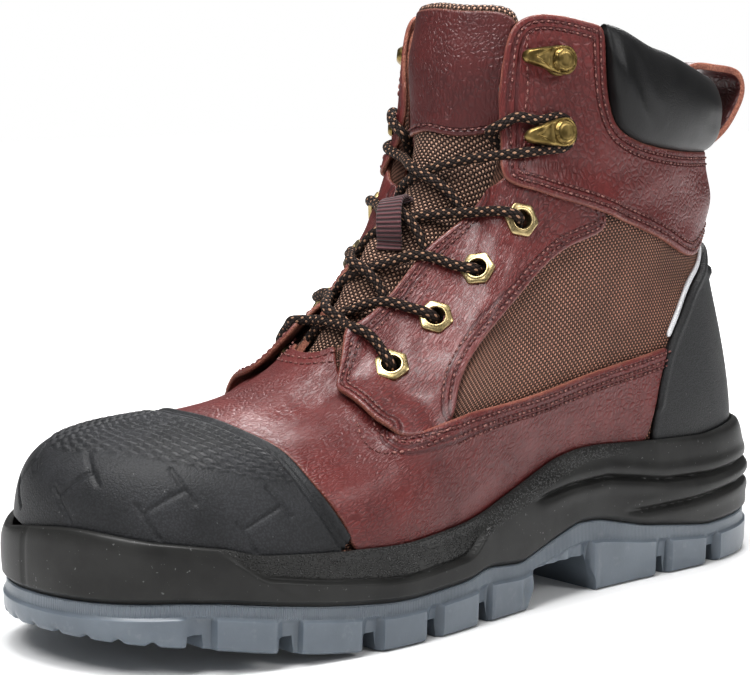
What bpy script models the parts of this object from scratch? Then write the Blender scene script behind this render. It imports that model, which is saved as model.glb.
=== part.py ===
"""Composite toe work boot for the left foot, laced to the ankle and standing empty on its sole.

+X runs from heel to toe, +Y to the outer side and +Z up. The origin lies on the floor under the
middle of the boot. Sizes are in millimetres from the back of the sole, and become metres in the
boot's frame when a mesh is made.

A place on the upper has two numbers: its girth, in millimetres along the sole's edge from the
heel towards the toe, and its level, from 0 at the feather line to 1 at the topline.
"""
import math
from collections import namedtuple

import bmesh
import bpy
import numpy as np
from mathutils import Matrix, Vector

# Driving dimensions
SOLE_LENGTH = 310.0
SOLE_WIDTH = 110.5
SHAFT_HEIGHT = 195.0
LOOP_REACH = 6.9
WALL = 2.2
GAP = 0.4
PANEL_GAP = 0.7
LEATHER = 1.6
LACE_RADIUS = 2.1
FITTING_SEAT = 0.8
OVER_LEATHER = PANEL_GAP + LEATHER + FITTING_SEAT

# How finely the forms are divided
RING_POINTS = 52
UPPER_LEVELS = (0, 0.09, 0.2, 0.32, 0.45, 0.58, 0.72, 0.86, 1)
EDGE_SPACING = 12.0
HOLE_SIDES = 6
DISC_SIDES = 8
LACE_POINTS = 7
LACE_STEP = 12.0
LACE_OVER_TONGUE = 1.5

# Sections of the last: its place on the sole's edge (x, half width, swing to the outer side),
# then x, half width and height at six levels
Section = namedtuple("Section", "name edge_x edge_half swing feather lip low middle high top")
LEVELS = (0, 0.17, 0.36, 0.58, 0.79, 1)
SECTIONS = (
    Section("heel", 0, 0, 0,
            (11, 0, 38), (10, 0, 56), (15.5, 0, 85), (22, 0, 116), (23.5, 0, 146), (22, 0, 177)),
    Section("heel corner", 3, 17.5, 0.5,
            (14, 15, 38), (13.5, 15, 56), (19, 14.5, 85), (25.5, 13, 116), (26.5, 13.5, 146),
            (25.5, 14.5, 177)),
    Section("heel side", 26, 35.5, 0.5,
            (32, 28, 38), (32, 30, 55), (36, 28, 85), (41, 25, 116), (42, 25.5, 146),
            (41, 27.5, 179)),
    Section("heel front", 72, 40.75, 0.75,
            (72, 33, 38), (72, 36.5, 55), (71, 36, 85), (70, 34, 116), (70, 34.5, 146),
            (71, 36.5, 187)),
    Section("waist", 118, 41, 3,
            (118, 33, 37), (118, 37, 56), (113, 39.5, 85), (109, 38, 116), (106, 37, 150),
            (104, 37.5, SHAFT_HEIGHT - 1.5)),
    Section("arch", 160, 46.5, 4.5,
            (160, 38, 32), (160, 42.5, 48), (154, 43.5, 75), (147, 39.5, 107), (133, 34.5, 147),
            (134, 27, SHAFT_HEIGHT - 0.5)),
    Section("ball", 205, 54.5, 3.5,
            (205, 47.5, 25), (204, 50.5, 38), (192, 48, 60), (175, 41.5, 84), (157, 33, 112.5),
            (141, 25, 148)),
    Section("tread", 248, SOLE_WIDTH / 2, 0.25,
            (248, 48, 24), (247, 50.5, 36), (236, 48, 51), (215, 38, 64.5), (186, 27.5, 90),
            (163, 18.5, 125)),
    Section("toe side", 285, 45.75, -3.75,
            (283, 38, 27), (282, 40.5, 42), (273.5, 39.3, 58), (250, 30.4, 65.4), (213, 21.5, 74),
            (184, 16, 105)),
    Section("toe corner", 303, 27.5, -5.5,
            (299, 21.5, 29), (298, 23, 46), (290.5, 22.3, 62), (262.5, 17.5, 69.2), (226, 13, 74),
            (199, 11, 92)),
    Section("toe", SOLE_LENGTH, 0, -8,
            (303.5, 0, 30), (304, 0, 48), (297.5, 0, 64), (266.5, 0, 70.4), (231, 0, 75.5),
            (204, 0, 88.5)),
)

# Heights along the sole: lug bottoms, underside between lugs, top of the outsole, shelf or
# groove line of the midsole's side, and the midsole's top lip
SoleRow = namedtuple("SoleRow", "x floor web seam step lip")
SOLE_ROWS = (
    SoleRow(0, 2.5, 9, 17.5, 35, 51),
    SoleRow(14, 0, 8.5, 16, 35, 51),
    SoleRow(45, 0, 8.5, 15.4, 34.2, 49),
    SoleRow(80, 0, 9, 20, 37, 50.4),
    SoleRow(104, 0, 12, 25.5, 40.3, 52),
    SoleRow(115, 0, 14, 26, 40, 52),
    SoleRow(128, 0, 14, 22.5, 39, 50),
    SoleRow(147, 0, 12, 17, 36.5, 43.4),
    SoleRow(166, 0, 9, 19, 33, 37.5),
    SoleRow(176, 0, 8.5, 16.5, 24, 35.6),
    SoleRow(205, 0, 8.5, 15.4, 22, 33.6),
    SoleRow(215, 0, 8.5, 15.8, 22.6, 33.8),
    SoleRow(240, 2.6, 10.5, 18.3, 25.6, 35.2),
    SoleRow(262, 5.6, 13.5, 21.2, 29.2, 36.6),
    SoleRow(273, 7.2, 15, 22.8, 38.2, 39.6),
    SoleRow(285, 8.4, 16, 23.6, 39.8, 41.2),
    SoleRow(SOLE_LENGTH, 8.8, 16, 22.6, 41.2, 42.6),
)

# Gaps between the lugs: middle, width at the floor and width at the root
LugGap = namedtuple("LugGap", "x wide narrow")
LUG_GAPS = (
    LugGap(42, 8, 5), LugGap(70.5, 7, 4), LugGap(125.5, 43, 30), LugGap(168.5, 8, 4),
    LugGap(195, 7, 4), LugGap(222.5, 9, 5), LugGap(253, 10, 5), LugGap(280.5, 9, 5),
)
# Channels along the tread: back end, front end and depth, one on each side of the middle
Channel = namedtuple("Channel", "back front depth")
CHANNELS = (Channel(18, 100, 5.5), Channel(150, 272, 5.0))
CHANNEL_Y = 14.0
CHANNEL_WIDTH = 5.0

# Rings of the midsole's side wall: share of the way from seam to step, inset, and depth of the
# groove between the heel's ribs
WallRing = namedtuple("WallRing", "share inset groove")
WALL_RINGS = (WallRing(0.3, 0.2, 0), WallRing(0.5, 0.2, 1.8), WallRing(0.85, 0.3, 0.2))

# Panel edges on the upper as (girth, level)
CAP_FOOT_GIRTH = 256.0
CAP_REAR = ((253, 0.2), (262, 0.284), (274, 0.394), (289, 0.532), (308, 0.618), (331, 0.658),
            (362.5, 0.664))
CAP_TO_VAMP = (-1.2, 0.012)
VAMP_FOOT = (249.5, 100.5)
VAMP_REAR = ((97, 0.228), (93, 0.303), (88.5, 0.345))
VAMP_TOP = ((88.5, 0.345), (121, 0.322), (155, 0.315), (190, 0.362), (230, 0.445), (255, 0.518),
            (269, 0.625), (289, 0.728), (308, 0.815), (322, 0.9), (336, 1))
STAY_FRONT = ((258, 0.562), (272, 0.655), (292, 0.756), (312, 0.86), (327, 1))
STAY_THROAT = ((327, 1), (221, 1))
STAY_TOP = ((221, 1), (217, 0.93), (203, 0.847), (190, 0.8), (168, 0.733), (150, 0.714), (131, 0.692))
STAY_REAR = ((131, 0.692), (150, 0.635), (178, 0.582), (203, 0.572), (221, 0.535), (218, 0.44))
STAY_FOOT = ((218, 0.44), (238, 0.49), (258, 0.562))
ANKLE_LOW = ((0, 0.632), (28, 0.62), (55, 0.568), (80, 0.607), (104, 0.655), (120, 0.683),
             (135, 0.708), (152, 0.728), (168, 0.748), (180, 0.783), (192, 0.822), (203, 0.862))
ANKLE_FRONT = ((203, 0.862), (209, 0.92), (208, 1))
ANKLE_TOP = ((208, 1), (139.5, 1))
ANKLE_BACK = ((139.5, 1), (138.5, 0.92), (134, 0.873), (122, 0.851), (100, 0.842), (60, 0.835), (0, 0.83))
COUNTER_FOOT_GIRTH = 98.0
COUNTER_TOP = ((94.5, 0.228), (90.5, 0.303), (84, 0.37), (66, 0.465), (45, 0.55), (22, 0.605), (0, 0.615))
PIPING_BACK = ((85.2, 0.384), (67.5, 0.478), (53, 0.537))
PIPING_FRONT = ((55, 0.552), (70, 0.493), (88, 0.394))
COLLAR_LOW = ((136, 0.93), (132, 0.895), (122, 0.868), (100, 0.858), (45, 0.848), (0, 0.844))

# Thickness of each panel over the shell
CAP_THICKNESS = 2.8
COUNTER_THICKNESS = 2.4
PIPING_THICKNESS = 1.0
COLLAR_PAD = 6.4
COLLAR_RISE = 3.2
COLLAR_INSIDE = 3.0

# Middle of each fastening on the upper, from the toe upwards
EYELETS = ((271, 0.764), (252.8, 0.807), (226.7, 0.811), (190.4, 0.744))
HOOKS = ((165, 0.839), (160.6, 0.949))
# Lace rows: the fastening, the girth where its strand passes over the throat's edge, how far from
# the fastening the strand starts, and its height over the leather
LaceRow = namedtuple("LaceRow", "place throat start lift")
LACE_ROWS = (
    LaceRow(EYELETS[0], 320, 9.5, 0), LaceRow(EYELETS[1], 307, 9.5, -0.3),
    LaceRow(EYELETS[2], 279, 9.5, -0.3), LaceRow(EYELETS[3], 252, 9.5, -0.3),
    LaceRow(HOOKS[0], 221, 16, 1.2),
)
# Where strands cross and end between two rows, as shares of the way up and of the tongue's half
CROSSING_SHARE = 0.62
STRAND_END_SHARE = 0.36
STRAND_END_ACROSS = 0.5
BAR_RISE = 0.03
EYELET_FLANGE_RADIUS = 6.2
EYELET_BARREL_RADIUS = 3.5
EYELET_BORE_RADIUS = 2.6
EYELET_HOLE_RADIUS = 4.0
EYELET_HOLE_REACH = 9.0
FLANGE_THICKNESS = 1.2
HOOK_RADIUS = 4.6
HOOK_ARM_REACH = 10.5
HOOK_TIP_RADIUS = 2.4
HOOK_HEIGHT = 5.2
HOOK_PLATE = 1.3

# Rows of the tongue: girth of the throat beside it, level of its tucked edge, level where it
# leaves the shell, clearance under the shell, and crown over the throat
TongueRow = namedtuple("TongueRow", "girth tuck rim clear crown")
TONGUE_ROWS = (
    TongueRow(324, 0.82, 0.9, 4.5, 0.5), TongueRow(322, 0.87, 0.96, 3.5, 2.5),
    TongueRow(314, 0.91, 1, 2.8, 5), TongueRow(302, 0.92, 1, 2.4, 7), TongueRow(286, 0.92, 1, 2.4, 8.5),
    TongueRow(268, 0.91, 1, 2.4, 10), TongueRow(249, 0.91, 1, 2.6, 12), TongueRow(229, 0.92, 1, 3.2, 14.5),
    TongueRow(210, 0.94, 1, 3.2, 14), TongueRow(195, 0.95, 1, 3, 13.5), TongueRow(183, 0.95, 1, 2.6, 12.5),
)
TONGUE_RISE = 12.0
TONGUE_MIN_LEAN = 0.35
TONGUE_THICKNESS = 4.5
PATCH_SPAN = (0.72, 0.985)
PATCH_HALF = 0.5
PATCH_GAP = 0.6
PATCH_THICKNESS = 1.4
KEEPER_SPAN = (0.43, 0.575)
KEEPER_HALF = 0.17
KEEPER_FOOT = 1.9
KEEPER_HEIGHT = 8.2
KEEPER_THICKNESS = 1.2

# Side view of the pull loop's strap, from inside the collar to its seam under the collar
LOOP_ROUTE = ((31.5, 164), (31.5, 174), (28.3, 181.6), (14, 182.9), (3, 181.6), (-3.2, 178.6),
              (-4.8, 173.5), (-1.5, 166), (6, 158.6), (14, 155))
LOOP_WIDTH = 21.0
LOOP_THICKNESS = 2.4

INSOLE_THICKNESS = 3.0
INSOLE_INSET = 3.4
LIP_WIDTH = 2.4


# Curves and the last

def spline(knots, rows, at, period=None):
    """Values at the places `at` on the smooth curve through one row of values for each knot.

    Rows of shape (knots, values) are one curve; rows of shape (knots, places, values) give each
    place a curve of its own. A period closes the curve.
    """
    knots = np.asarray(knots, float)
    rows = np.asarray(rows, float)
    at = np.asarray(at, float)
    if period:
        knots = np.concatenate([knots - period, knots, knots + period])
        rows = np.concatenate([rows, rows, rows])
        at = np.mod(at, period)
    step = np.diff(knots)
    count = len(knots)
    slope = np.diff(rows, axis=0) / step.reshape((-1,) + (1,) * (rows.ndim - 1))
    system = np.eye(count)
    bend = np.zeros_like(rows)
    for i in range(1, count - 1):
        system[i, i - 1:i + 2] = step[i - 1], 2 * (step[i - 1] + step[i]), step[i]
        bend[i] = 6 * (slope[i] - slope[i - 1])
    bend = np.linalg.solve(system, bend.reshape(count, -1)).reshape(rows.shape)
    i = np.clip(np.searchsorted(knots, at, side="right") - 1, 0, count - 2)
    here = (i,) if rows.ndim == 2 else (i, np.arange(len(at)))
    there = (i + 1,) + here[1:]
    span = step[i][:, None]
    before = (knots[i + 1] - at)[:, None]
    after = (at - knots[i])[:, None]
    cubic = (bend[here] * before ** 3 + bend[there] * after ** 3) / (6 * span)
    start = (rows[here] / span - bend[here] * span / 6) * before
    end = (rows[there] / span - bend[there] * span / 6) * after
    return cubic + start + end


def chord_lengths(points):
    """Running length of a line through the points."""
    steps = np.linalg.norm(np.diff(np.asarray(points, float), axis=0), axis=1)
    return np.concatenate([[0], np.cumsum(steps)])


HALF_KNOTS = chord_lengths([(row.edge_x, row.edge_half) for row in SECTIONS])
HALF_GIRTH = HALF_KNOTS[-1]
GIRTH = 2 * HALF_GIRTH
RING_KNOTS = np.concatenate([HALF_KNOTS, (GIRTH - HALF_KNOTS[1:-1])[::-1]])


def both_sides(rows):
    """Rows of (outer side, inner side) from heel to toe as one closed ring of points."""
    outer = [pair[0] for pair in rows]
    inner = [pair[1] for pair in rows[1:-1]]
    return np.array(outer + inner[::-1], float)


def level_ring(number, level):
    """Points of the last's ring at one of its levels; the swing fades out towards the top."""
    rows = []
    for section in SECTIONS:
        x, half, height = section[4 + number]
        swing = section.swing * (1 - level)
        rows.append(((x, half + swing, height), (x, swing - half, height)))
    return both_sides(rows)


EDGE_RING = both_sides([((row.edge_x, row.swing + row.edge_half),
                         (row.edge_x, row.swing - row.edge_half)) for row in SECTIONS])
LEVEL_RINGS = np.concatenate([level_ring(*pair) for pair in enumerate(LEVELS)], axis=1)


def sole_edge(girth):
    return spline(RING_KNOTS, EDGE_RING, girth, GIRTH)


def sole_edge_normal(girth):
    """Direction straight out from the sole's edge, in plan."""
    along = sole_edge(girth + 0.5) - sole_edge(girth - 0.5)
    along /= np.linalg.norm(along, axis=1, keepdims=True)
    return np.stack([-along[:, 1], along[:, 0]], axis=1)


def upper_point(girth, level):
    """Points on the outside of the upper's shell."""
    girth, level = np.broadcast_arrays(np.asarray(girth, float), np.asarray(level, float))
    columns = spline(RING_KNOTS, LEVEL_RINGS, girth.ravel(), GIRTH)
    columns = columns.reshape(-1, len(LEVELS), 3).transpose(1, 0, 2)
    return spline(LEVELS, columns, level.ravel()).reshape(girth.shape + (3,))


def upper_normal(girth, level):
    along = upper_point(girth + 0.5, level) - upper_point(girth - 0.5, level)
    upwards = upper_point(girth, level + 0.004) - upper_point(girth, level - 0.004)
    normal = np.cross(upwards, along)
    return normal / np.linalg.norm(normal, axis=-1, keepdims=True)


def over_upper(girth, level, height):
    """Points that stand a height over the shell, or under its outside where it is negative."""
    girth, level = np.broadcast_arrays(np.asarray(girth, float), np.asarray(level, float))
    return upper_point(girth, level) + upper_normal(girth, level) * np.asarray(height)[..., None]


def sole_height(column, girth):
    """One column of the sole's table at the places along the sole's edge."""
    places = [row.x for row in SOLE_ROWS]
    heights = [getattr(row, column) for row in SOLE_ROWS]
    return np.interp(sole_edge(girth)[:, 0], places, heights)


def lip_level(girth, clearance=0.0):
    """Level of the upper at the top of the sole's lip, or a clearance above it."""
    girth = np.asarray(girth, float)
    tries = np.linspace(0, 0.4, 41)
    heights = upper_point(girth[:, None], tries[None, :])[..., 2]
    wanted = sole_height("lip", girth) + clearance
    return np.array([np.interp(z, column, tries) for z, column in zip(wanted, heights)])


RING = np.arange(RING_POINTS) * GIRTH / RING_POINTS
RING_EDGE = sole_edge(RING)
FRAME_ORIGIN = np.array([(RING_EDGE[:, 0].max() - LOOP_REACH) / 2,
                         (RING_EDGE[:, 1].max() + RING_EDGE[:, 1].min()) / 2, 0])


# Objects

def clear_scene():
    for old in list(bpy.data.objects):
        bpy.data.objects.remove(old)


def new_collection(name):
    collection = bpy.data.collections.new(name)
    bpy.context.scene.collection.children.link(collection)
    return collection


clear_scene()
PARTS = new_collection("work_boot")
CUTTERS = new_collection("work_boot_cutters")


def finish(name, colour, roughness, metallic=0.0):
    material = bpy.data.materials.new(name)
    material.use_nodes = True
    shader = material.node_tree.nodes["Principled BSDF"]
    shader.inputs["Base Color"].default_value = (*colour, 1)
    shader.inputs["Roughness"].default_value = roughness
    shader.inputs["Metallic"].default_value = metallic
    return material


LEATHER_RED = finish("red_brown_leather", (0.13, 0.035, 0.035), 0.45)
LEATHER_BLACK = finish("black_leather", (0.012, 0.012, 0.013), 0.35)
NYLON = finish("brown_nylon", (0.1, 0.055, 0.035), 0.8)
WEBBING = finish("maroon_webbing", (0.09, 0.03, 0.035), 0.8)
RUBBER_BLACK = finish("black_rubber", (0.02, 0.02, 0.022), 0.6)
MIDSOLE_BLACK = finish("black_midsole", (0.02, 0.02, 0.02), 0.5)
OUTSOLE_GREY = finish("grey_outsole", (0.17, 0.2, 0.24), 0.35)
BRASS = finish("antique_brass", (0.42, 0.31, 0.13), 0.35, 1.0)
CORD = finish("braided_cord", (0.03, 0.02, 0.015), 0.8)
SILVER = finish("reflective_tape", (0.8, 0.8, 0.8), 0.4)
LINING = finish("insole_fabric", (0.05, 0.05, 0.055), 0.9)


def to_frame(points):
    """Millimetres from the back of the sole to metres in the boot's frame."""
    return (np.asarray(points, float).reshape(-1, 3) - FRAME_ORIGIN) / 1000


def mesh_piece(name, mesh, material, collection=PARTS):
    """Object for a mesh, shaded smooth with its corners kept sharp."""
    mesh.materials.clear()
    mesh.materials.append(material)
    mesh.shade_smooth()
    mesh.set_sharp_from_angle(angle=math.radians(40))
    piece = bpy.data.objects.new(name, mesh)
    collection.objects.link(piece)
    return piece


def mesh_object(name, points, faces, material, closed=True):
    mesh = bpy.data.meshes.new(name)
    mesh.from_pydata(to_frame(points).tolist(), [], faces)
    if closed:
        form = bmesh.new()
        form.from_mesh(mesh)
        bmesh.ops.recalc_face_normals(form, faces=form.faces)
        form.to_mesh(mesh)
        form.free()
    return mesh_piece(name, mesh, material)


def thicken(piece, thickness, outwards=True):
    """Give a sheet its thickness in millimetres, to its outside or its inside."""
    solid = piece.modifiers.new("thickness", "SOLIDIFY")
    solid.thickness = thickness / 1000
    solid.offset = 1 if outwards else -1
    return piece


def grid_faces(columns, rows, closed=False):
    """Faces of a grid whose points run up each column, with the outside on the upper's outside."""
    faces = []
    for column in range(columns if closed else columns - 1):
        a = column * rows
        b = (column + 1) % columns * rows
        faces += [(a + k, a + k + 1, b + k + 1, b + k) for k in range(rows - 1)]
    return faces


def sheet(name, points, thickness, material, outwards=True, closed=False):
    """Solid sheet on a grid of points of shape (columns, rows, 3)."""
    faces = grid_faces(*points.shape[:2], closed)
    return thicken(mesh_object(name, points, faces, material, closed=False), thickness, outwards)


def loft(name, rings, material):
    """Solid through rings of points around the foot, closed across at the first and last ring."""
    count = len(rings[0])
    faces = []
    for ring in range(len(rings) - 1):
        for k in range(count):
            a = ring * count + k
            b = ring * count + (k + 1) % count
            faces.append((a, b, b + count, a + count))
    for base in (0, (len(rings) - 1) * count):
        for k in range(count // 2):
            rung = [base + k, base + k + 1, base + count - k - 1, base + (count - k) % count]
            faces.append(tuple(dict.fromkeys(rung)))
    return mesh_object(name, np.concatenate(rings), faces, material)


def sweep(name, sections, material):
    """Solid through closed sections of shape (places, points, 3), with flat ends."""
    places, count = sections.shape[:2]
    faces = [tuple(range(count)), tuple((places - 1) * count + k for k in range(count))]
    for place in range(places - 1):
        for k in range(count):
            a = place * count + k
            b = place * count + (k + 1) % count
            faces.append((a, b, b + count, a + count))
    return mesh_object(name, sections, faces, material)


def cut(piece, cutter, operation="DIFFERENCE"):
    modifier = piece.modifiers.new(cutter.name, "BOOLEAN")
    modifier.operation = operation
    modifier.solver = "MANIFOLD"
    modifier.object = cutter


def hide_cutter(piece):
    piece.hide_render = True
    piece.display_type = "WIRE"


def evaluated_mesh(piece):
    bpy.context.view_layer.update()
    graph = bpy.context.evaluated_depsgraph_get()
    return bpy.data.meshes.new_from_object(piece.evaluated_get(graph))


# Panels on the upper

SHELL_POINTS = upper_point(RING[:, None], np.array(UPPER_LEVELS)[None, :])
SHELL_NORMALS = upper_normal(RING[:, None], np.array(UPPER_LEVELS)[None, :])
SHELL_STEP = GIRTH / RING_POINTS


def shell_cell(girth, level):
    """Column and row of the shell's grid that hold a place, and its share across and up the cell."""
    column = math.floor(girth / SHELL_STEP + 1e-9)
    row = int(np.searchsorted(UPPER_LEVELS, level + 1e-9, side="right")) - 1
    row = min(max(row, 0), len(UPPER_LEVELS) - 2)
    up = (level - UPPER_LEVELS[row]) / (UPPER_LEVELS[row + 1] - UPPER_LEVELS[row])
    return column, row, girth / SHELL_STEP - column, up


def leans_forward(column):
    """Whether the diagonal of a column's cells rises with the girth: on the outer side it does."""
    return column % RING_POINTS < RING_POINTS // 2


def on_shell(girth, level):
    """Point and outward direction on the shell's own flat faces."""
    column, row, across, up = shell_cell(girth, level)
    near, far = column % RING_POINTS, (column + 1) % RING_POINTS
    blend = []
    for grid in (SHELL_POINTS, SHELL_NORMALS):
        low, high = grid[near, row], grid[near, row + 1]
        far_low, far_high = grid[far, row], grid[far, row + 1]
        if leans_forward(column):
            corner = far_low if across > up else high
            value = low + min(across, up) * (far_high - low) + abs(across - up) * (corner - low)
        else:
            corner = low if across + up < 1 else far_high
            value = far_low + min(1 - across, up) * (high - far_low)
            value = value + abs(1 - across - up) * (corner - far_low)
        blend.append(value)
    return blend[0], blend[1] / np.linalg.norm(blend[1])


def over_shell(girths, levels, height):
    """Points at a height over the shell's flat faces."""
    places = [on_shell(*place) for place in zip(girths, levels)]
    return np.array([point + normal * height for point, normal in places])


def shell_faces():
    """Triangles of the shell's grid."""
    rows = len(UPPER_LEVELS)
    faces = []
    for column in range(RING_POINTS):
        for row in range(rows - 1):
            low = column * rows + row
            far = (column + 1) % RING_POINTS * rows + row
            if leans_forward(column):
                faces += [(low, low + 1, far + 1), (low, far + 1, far)]
            else:
                faces += [(low, low + 1, far), (low + 1, far + 1, far)]
    return faces


def edge_line(edge):
    """Places along the smooth line through an edge's places."""
    edge = np.asarray(edge, float)
    lengths = chord_lengths(edge * (1, 100))
    count = max(2, math.ceil(lengths[-1] / EDGE_SPACING) + 1)
    return spline(lengths, edge, np.linspace(0, lengths[-1], count))


def lip_edge(start, end):
    """Places just above the sole's lip from one girth to another."""
    between = [girth for girth in RING if min(start, end) < girth < max(start, end)]
    girth = np.array([start, end] + between)
    girth = np.sort(girth) if end > start else np.sort(girth)[::-1]
    return np.column_stack([girth, lip_level(girth, PANEL_GAP)])


def outline(*edges):
    """Closed outline through edges that follow each other."""
    places = np.concatenate(edges)
    apart = np.linalg.norm((places - np.roll(places, 1, axis=0)) * (1, 100), axis=1)
    return places[apart > 0.01]


def mirrored(places, middle=HALF_GIRTH):
    """The same places on the other side of the heel's or the toe's middle."""
    return np.column_stack([2 * middle - places[:, 0], places[:, 1]])[::-1]


def wrapped(middle, *edges):
    """Closed outline of edges that start and end at a middle, with their mirror image."""
    half = np.concatenate(edges)
    return outline(half, mirrored(half, middle))


def split_on_diagonal(form, face):
    """Split a panel's face where the shell's own face is folded, along its cell's diagonal."""
    middle = face.calc_center_median()
    column, row, _, _ = shell_cell(middle.x, middle.y / 100)
    rise = 100 * (UPPER_LEVELS[row + 1] - UPPER_LEVELS[row])
    forward = leans_forward(column)
    start = ((column if forward else column + 1) * SHELL_STEP, 100 * UPPER_LEVELS[row], 0)
    across = (rise, -SHELL_STEP, 0) if forward else (rise, SHELL_STEP, 0)
    around = [face] + list(face.edges) + list(face.verts)
    bmesh.ops.bisect_plane(form, geom=around, dist=0.02, plane_co=start, plane_no=across)


def panel(name, places, thickness, material):
    """Panel on the shell inside an outline, cut along the shell's own grid to lie on its faces."""
    form = bmesh.new()
    form.faces.new([form.verts.new((girth, level * 100, 0)) for girth, level in places])
    first = math.ceil(places[:, 0].min() / SHELL_STEP)
    last = math.floor(places[:, 0].max() / SHELL_STEP)
    lines = [((k * SHELL_STEP, 0, 0), (1, 0, 0)) for k in range(first, last + 1)]
    lines += [((0, level * 100, 0), (0, 1, 0)) for level in UPPER_LEVELS]
    for point, normal in lines:
        everything = form.verts[:] + form.edges[:] + form.faces[:]
        bmesh.ops.bisect_plane(form, geom=everything, dist=0.02, plane_co=point, plane_no=normal)
    bmesh.ops.remove_doubles(form, verts=form.verts, dist=0.3)
    bmesh.ops.dissolve_degenerate(form, edges=form.edges, dist=0.1)
    for face in form.faces[:]:
        split_on_diagonal(form, face)
    bmesh.ops.triangulate(form, faces=form.faces)
    form.normal_update()
    turned = [face for face in form.faces if face.normal.z > 0]
    bmesh.ops.reverse_faces(form, faces=turned)
    for corner in form.verts:
        point, normal = on_shell(corner.co.x, min(corner.co.y / 100, 1))
        corner.co = to_frame(point + normal * PANEL_GAP)[0]
    mesh = bpy.data.meshes.new(name)
    form.to_mesh(mesh)
    form.free()
    return thicken(mesh_piece(name, mesh, material), thickness)


def toe_cap():
    rear = edge_line(CAP_REAR)
    panel("toe_cap", wrapped(HALF_GIRTH, lip_edge(HALF_GIRTH, CAP_FOOT_GIRTH), rear),
          CAP_THICKNESS, RUBBER_BLACK)


def vamp():
    front = edge_line(CAP_REAR)[::-1] + CAP_TO_VAMP
    front[0, 0] = HALF_GIRTH
    tongue_end = np.array([[HALF_GIRTH, 1.0]])
    places = wrapped(HALF_GIRTH, front, lip_edge(*VAMP_FOOT), edge_line(VAMP_REAR), edge_line(VAMP_TOP),
                     tongue_end)
    panel("vamp", places, LEATHER, LEATHER_RED)


def eyestays():
    edges = [edge_line(edge) for edge in (STAY_FRONT, STAY_THROAT, STAY_TOP, STAY_REAR, STAY_FOOT)]
    places = outline(*edges)
    lateral = panel("eyestay_lateral", places, LEATHER, LEATHER_RED)
    medial = panel("eyestay_medial", mirrored(places), LEATHER, LEATHER_RED)
    return lateral, medial


def ankle_panel():
    edges = [edge_line(edge) for edge in (ANKLE_LOW, ANKLE_FRONT, ANKLE_TOP, ANKLE_BACK)]
    panel("ankle_panel", wrapped(0, *edges), LEATHER, LEATHER_RED)


def heel_counter():
    places = wrapped(0, lip_edge(0, COUNTER_FOOT_GIRTH), edge_line(COUNTER_TOP))
    panel("heel_counter", places, COUNTER_THICKNESS, RUBBER_BLACK)


def piping():
    places = outline(edge_line(PIPING_BACK), edge_line(PIPING_FRONT))
    panel("piping_lateral", places, PIPING_THICKNESS, SILVER)
    panel("piping_medial", mirrored(places), PIPING_THICKNESS, SILVER)


def collar():
    """Padded collar: a rounded section that laps over the topline, carried round the heel."""
    end = COLLAR_LOW[0][0]
    steps = math.floor(end / SHELL_STEP)
    girth = np.concatenate([[-end], np.arange(-steps, steps + 1) * SHELL_STEP, [end]])
    low_edge = edge_line(COLLAR_LOW)[::-1]
    low = np.interp(np.abs(girth), low_edge[:, 0], low_edge[:, 1])
    inside = -WALL - PANEL_GAP
    section = ((0, PANEL_GAP, 0), (0.04, 3.2, 0), (0.3, COLLAR_PAD, 0), (0.65, COLLAR_PAD, 0),
               (0.92, 4.4, 1.6), (1, 2.4, COLLAR_RISE), (1, inside - 1.2, COLLAR_RISE),
               (0.8, inside - COLLAR_INSIDE, 0.8), (0.5, inside - COLLAR_INSIDE, 0), (0.5, inside, 0),
               (1, inside, GAP), (1, PANEL_GAP, GAP), (0.5, PANEL_GAP, 0))
    rings = [over_shell(girth, low + (1 - low) * share, height) + (0, 0, rise)
             for share, height, rise in section]
    sweep("collar", np.stack(rings, axis=1), LEATHER_BLACK)


# Upper, sole and insole

def upper():
    shell = mesh_object("upper", SHELL_POINTS, shell_faces(), NYLON, closed=False)
    return thicken(shell, WALL, outwards=False)


def sole_ring(inset, height):
    """Ring of points set in from the sole's edge, at a height."""
    plan = RING_EDGE - sole_edge_normal(RING) * np.asarray(inset).reshape(-1, 1)
    return np.column_stack([plan, height])


def midsole():
    """Cup with a ribbed heel, a shelf along the forefoot and a bumper round the toe."""
    x = RING_EDGE[:, 0]
    heel = np.clip((95 - x) / 20, 0, 1)
    seam = sole_height("seam", RING)
    step = sole_height("step", RING)
    level = lip_level(RING)
    lip_outer = over_upper(RING, level, np.full(RING_POINTS, GAP + LIP_WIDTH))
    lip_outer[:, 2] = sole_height("lip", RING) - 0.4
    shelf = sole_ring(1.6 + 1.2 * heel, step)
    roll = (shelf + lip_outer) / 2
    roll[:, :2] += sole_edge_normal(RING) * (0.6 + 1.8 * heel)[:, None]
    rings = [sole_ring(np.full(RING_POINTS, 1.6), seam)]
    for ring in WALL_RINGS:
        rings.append(sole_ring(ring.inset + ring.groove * heel, seam + (step - seam) * ring.share))
    rings += [shelf, roll, lip_outer]
    rings += [over_upper(RING, level * share, np.full(RING_POINTS, GAP)) for share in (1, 0.5, 0)]
    rings[-1][:, 2] -= GAP
    return loft("midsole", rings, MIDSOLE_BLACK)


def wedge(name, middle, low, high, bottom, top):
    """Block that narrows from its bottom (x and y size) to its top."""
    form = bmesh.new()
    bmesh.ops.create_cube(form, size=2)
    for corner in form.verts:
        size = high if corner.co.z > 0 else low
        place = (middle[0] + corner.co.x * size[0] / 2, middle[1] + corner.co.y * size[1] / 2,
                 top if corner.co.z > 0 else bottom)
        corner.co = to_frame(place)[0]
    mesh = bpy.data.meshes.new(name)
    form.to_mesh(mesh)
    form.free()
    piece = bpy.data.objects.new(name, mesh)
    CUTTERS.objects.link(piece)
    hide_cutter(piece)
    return piece


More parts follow.
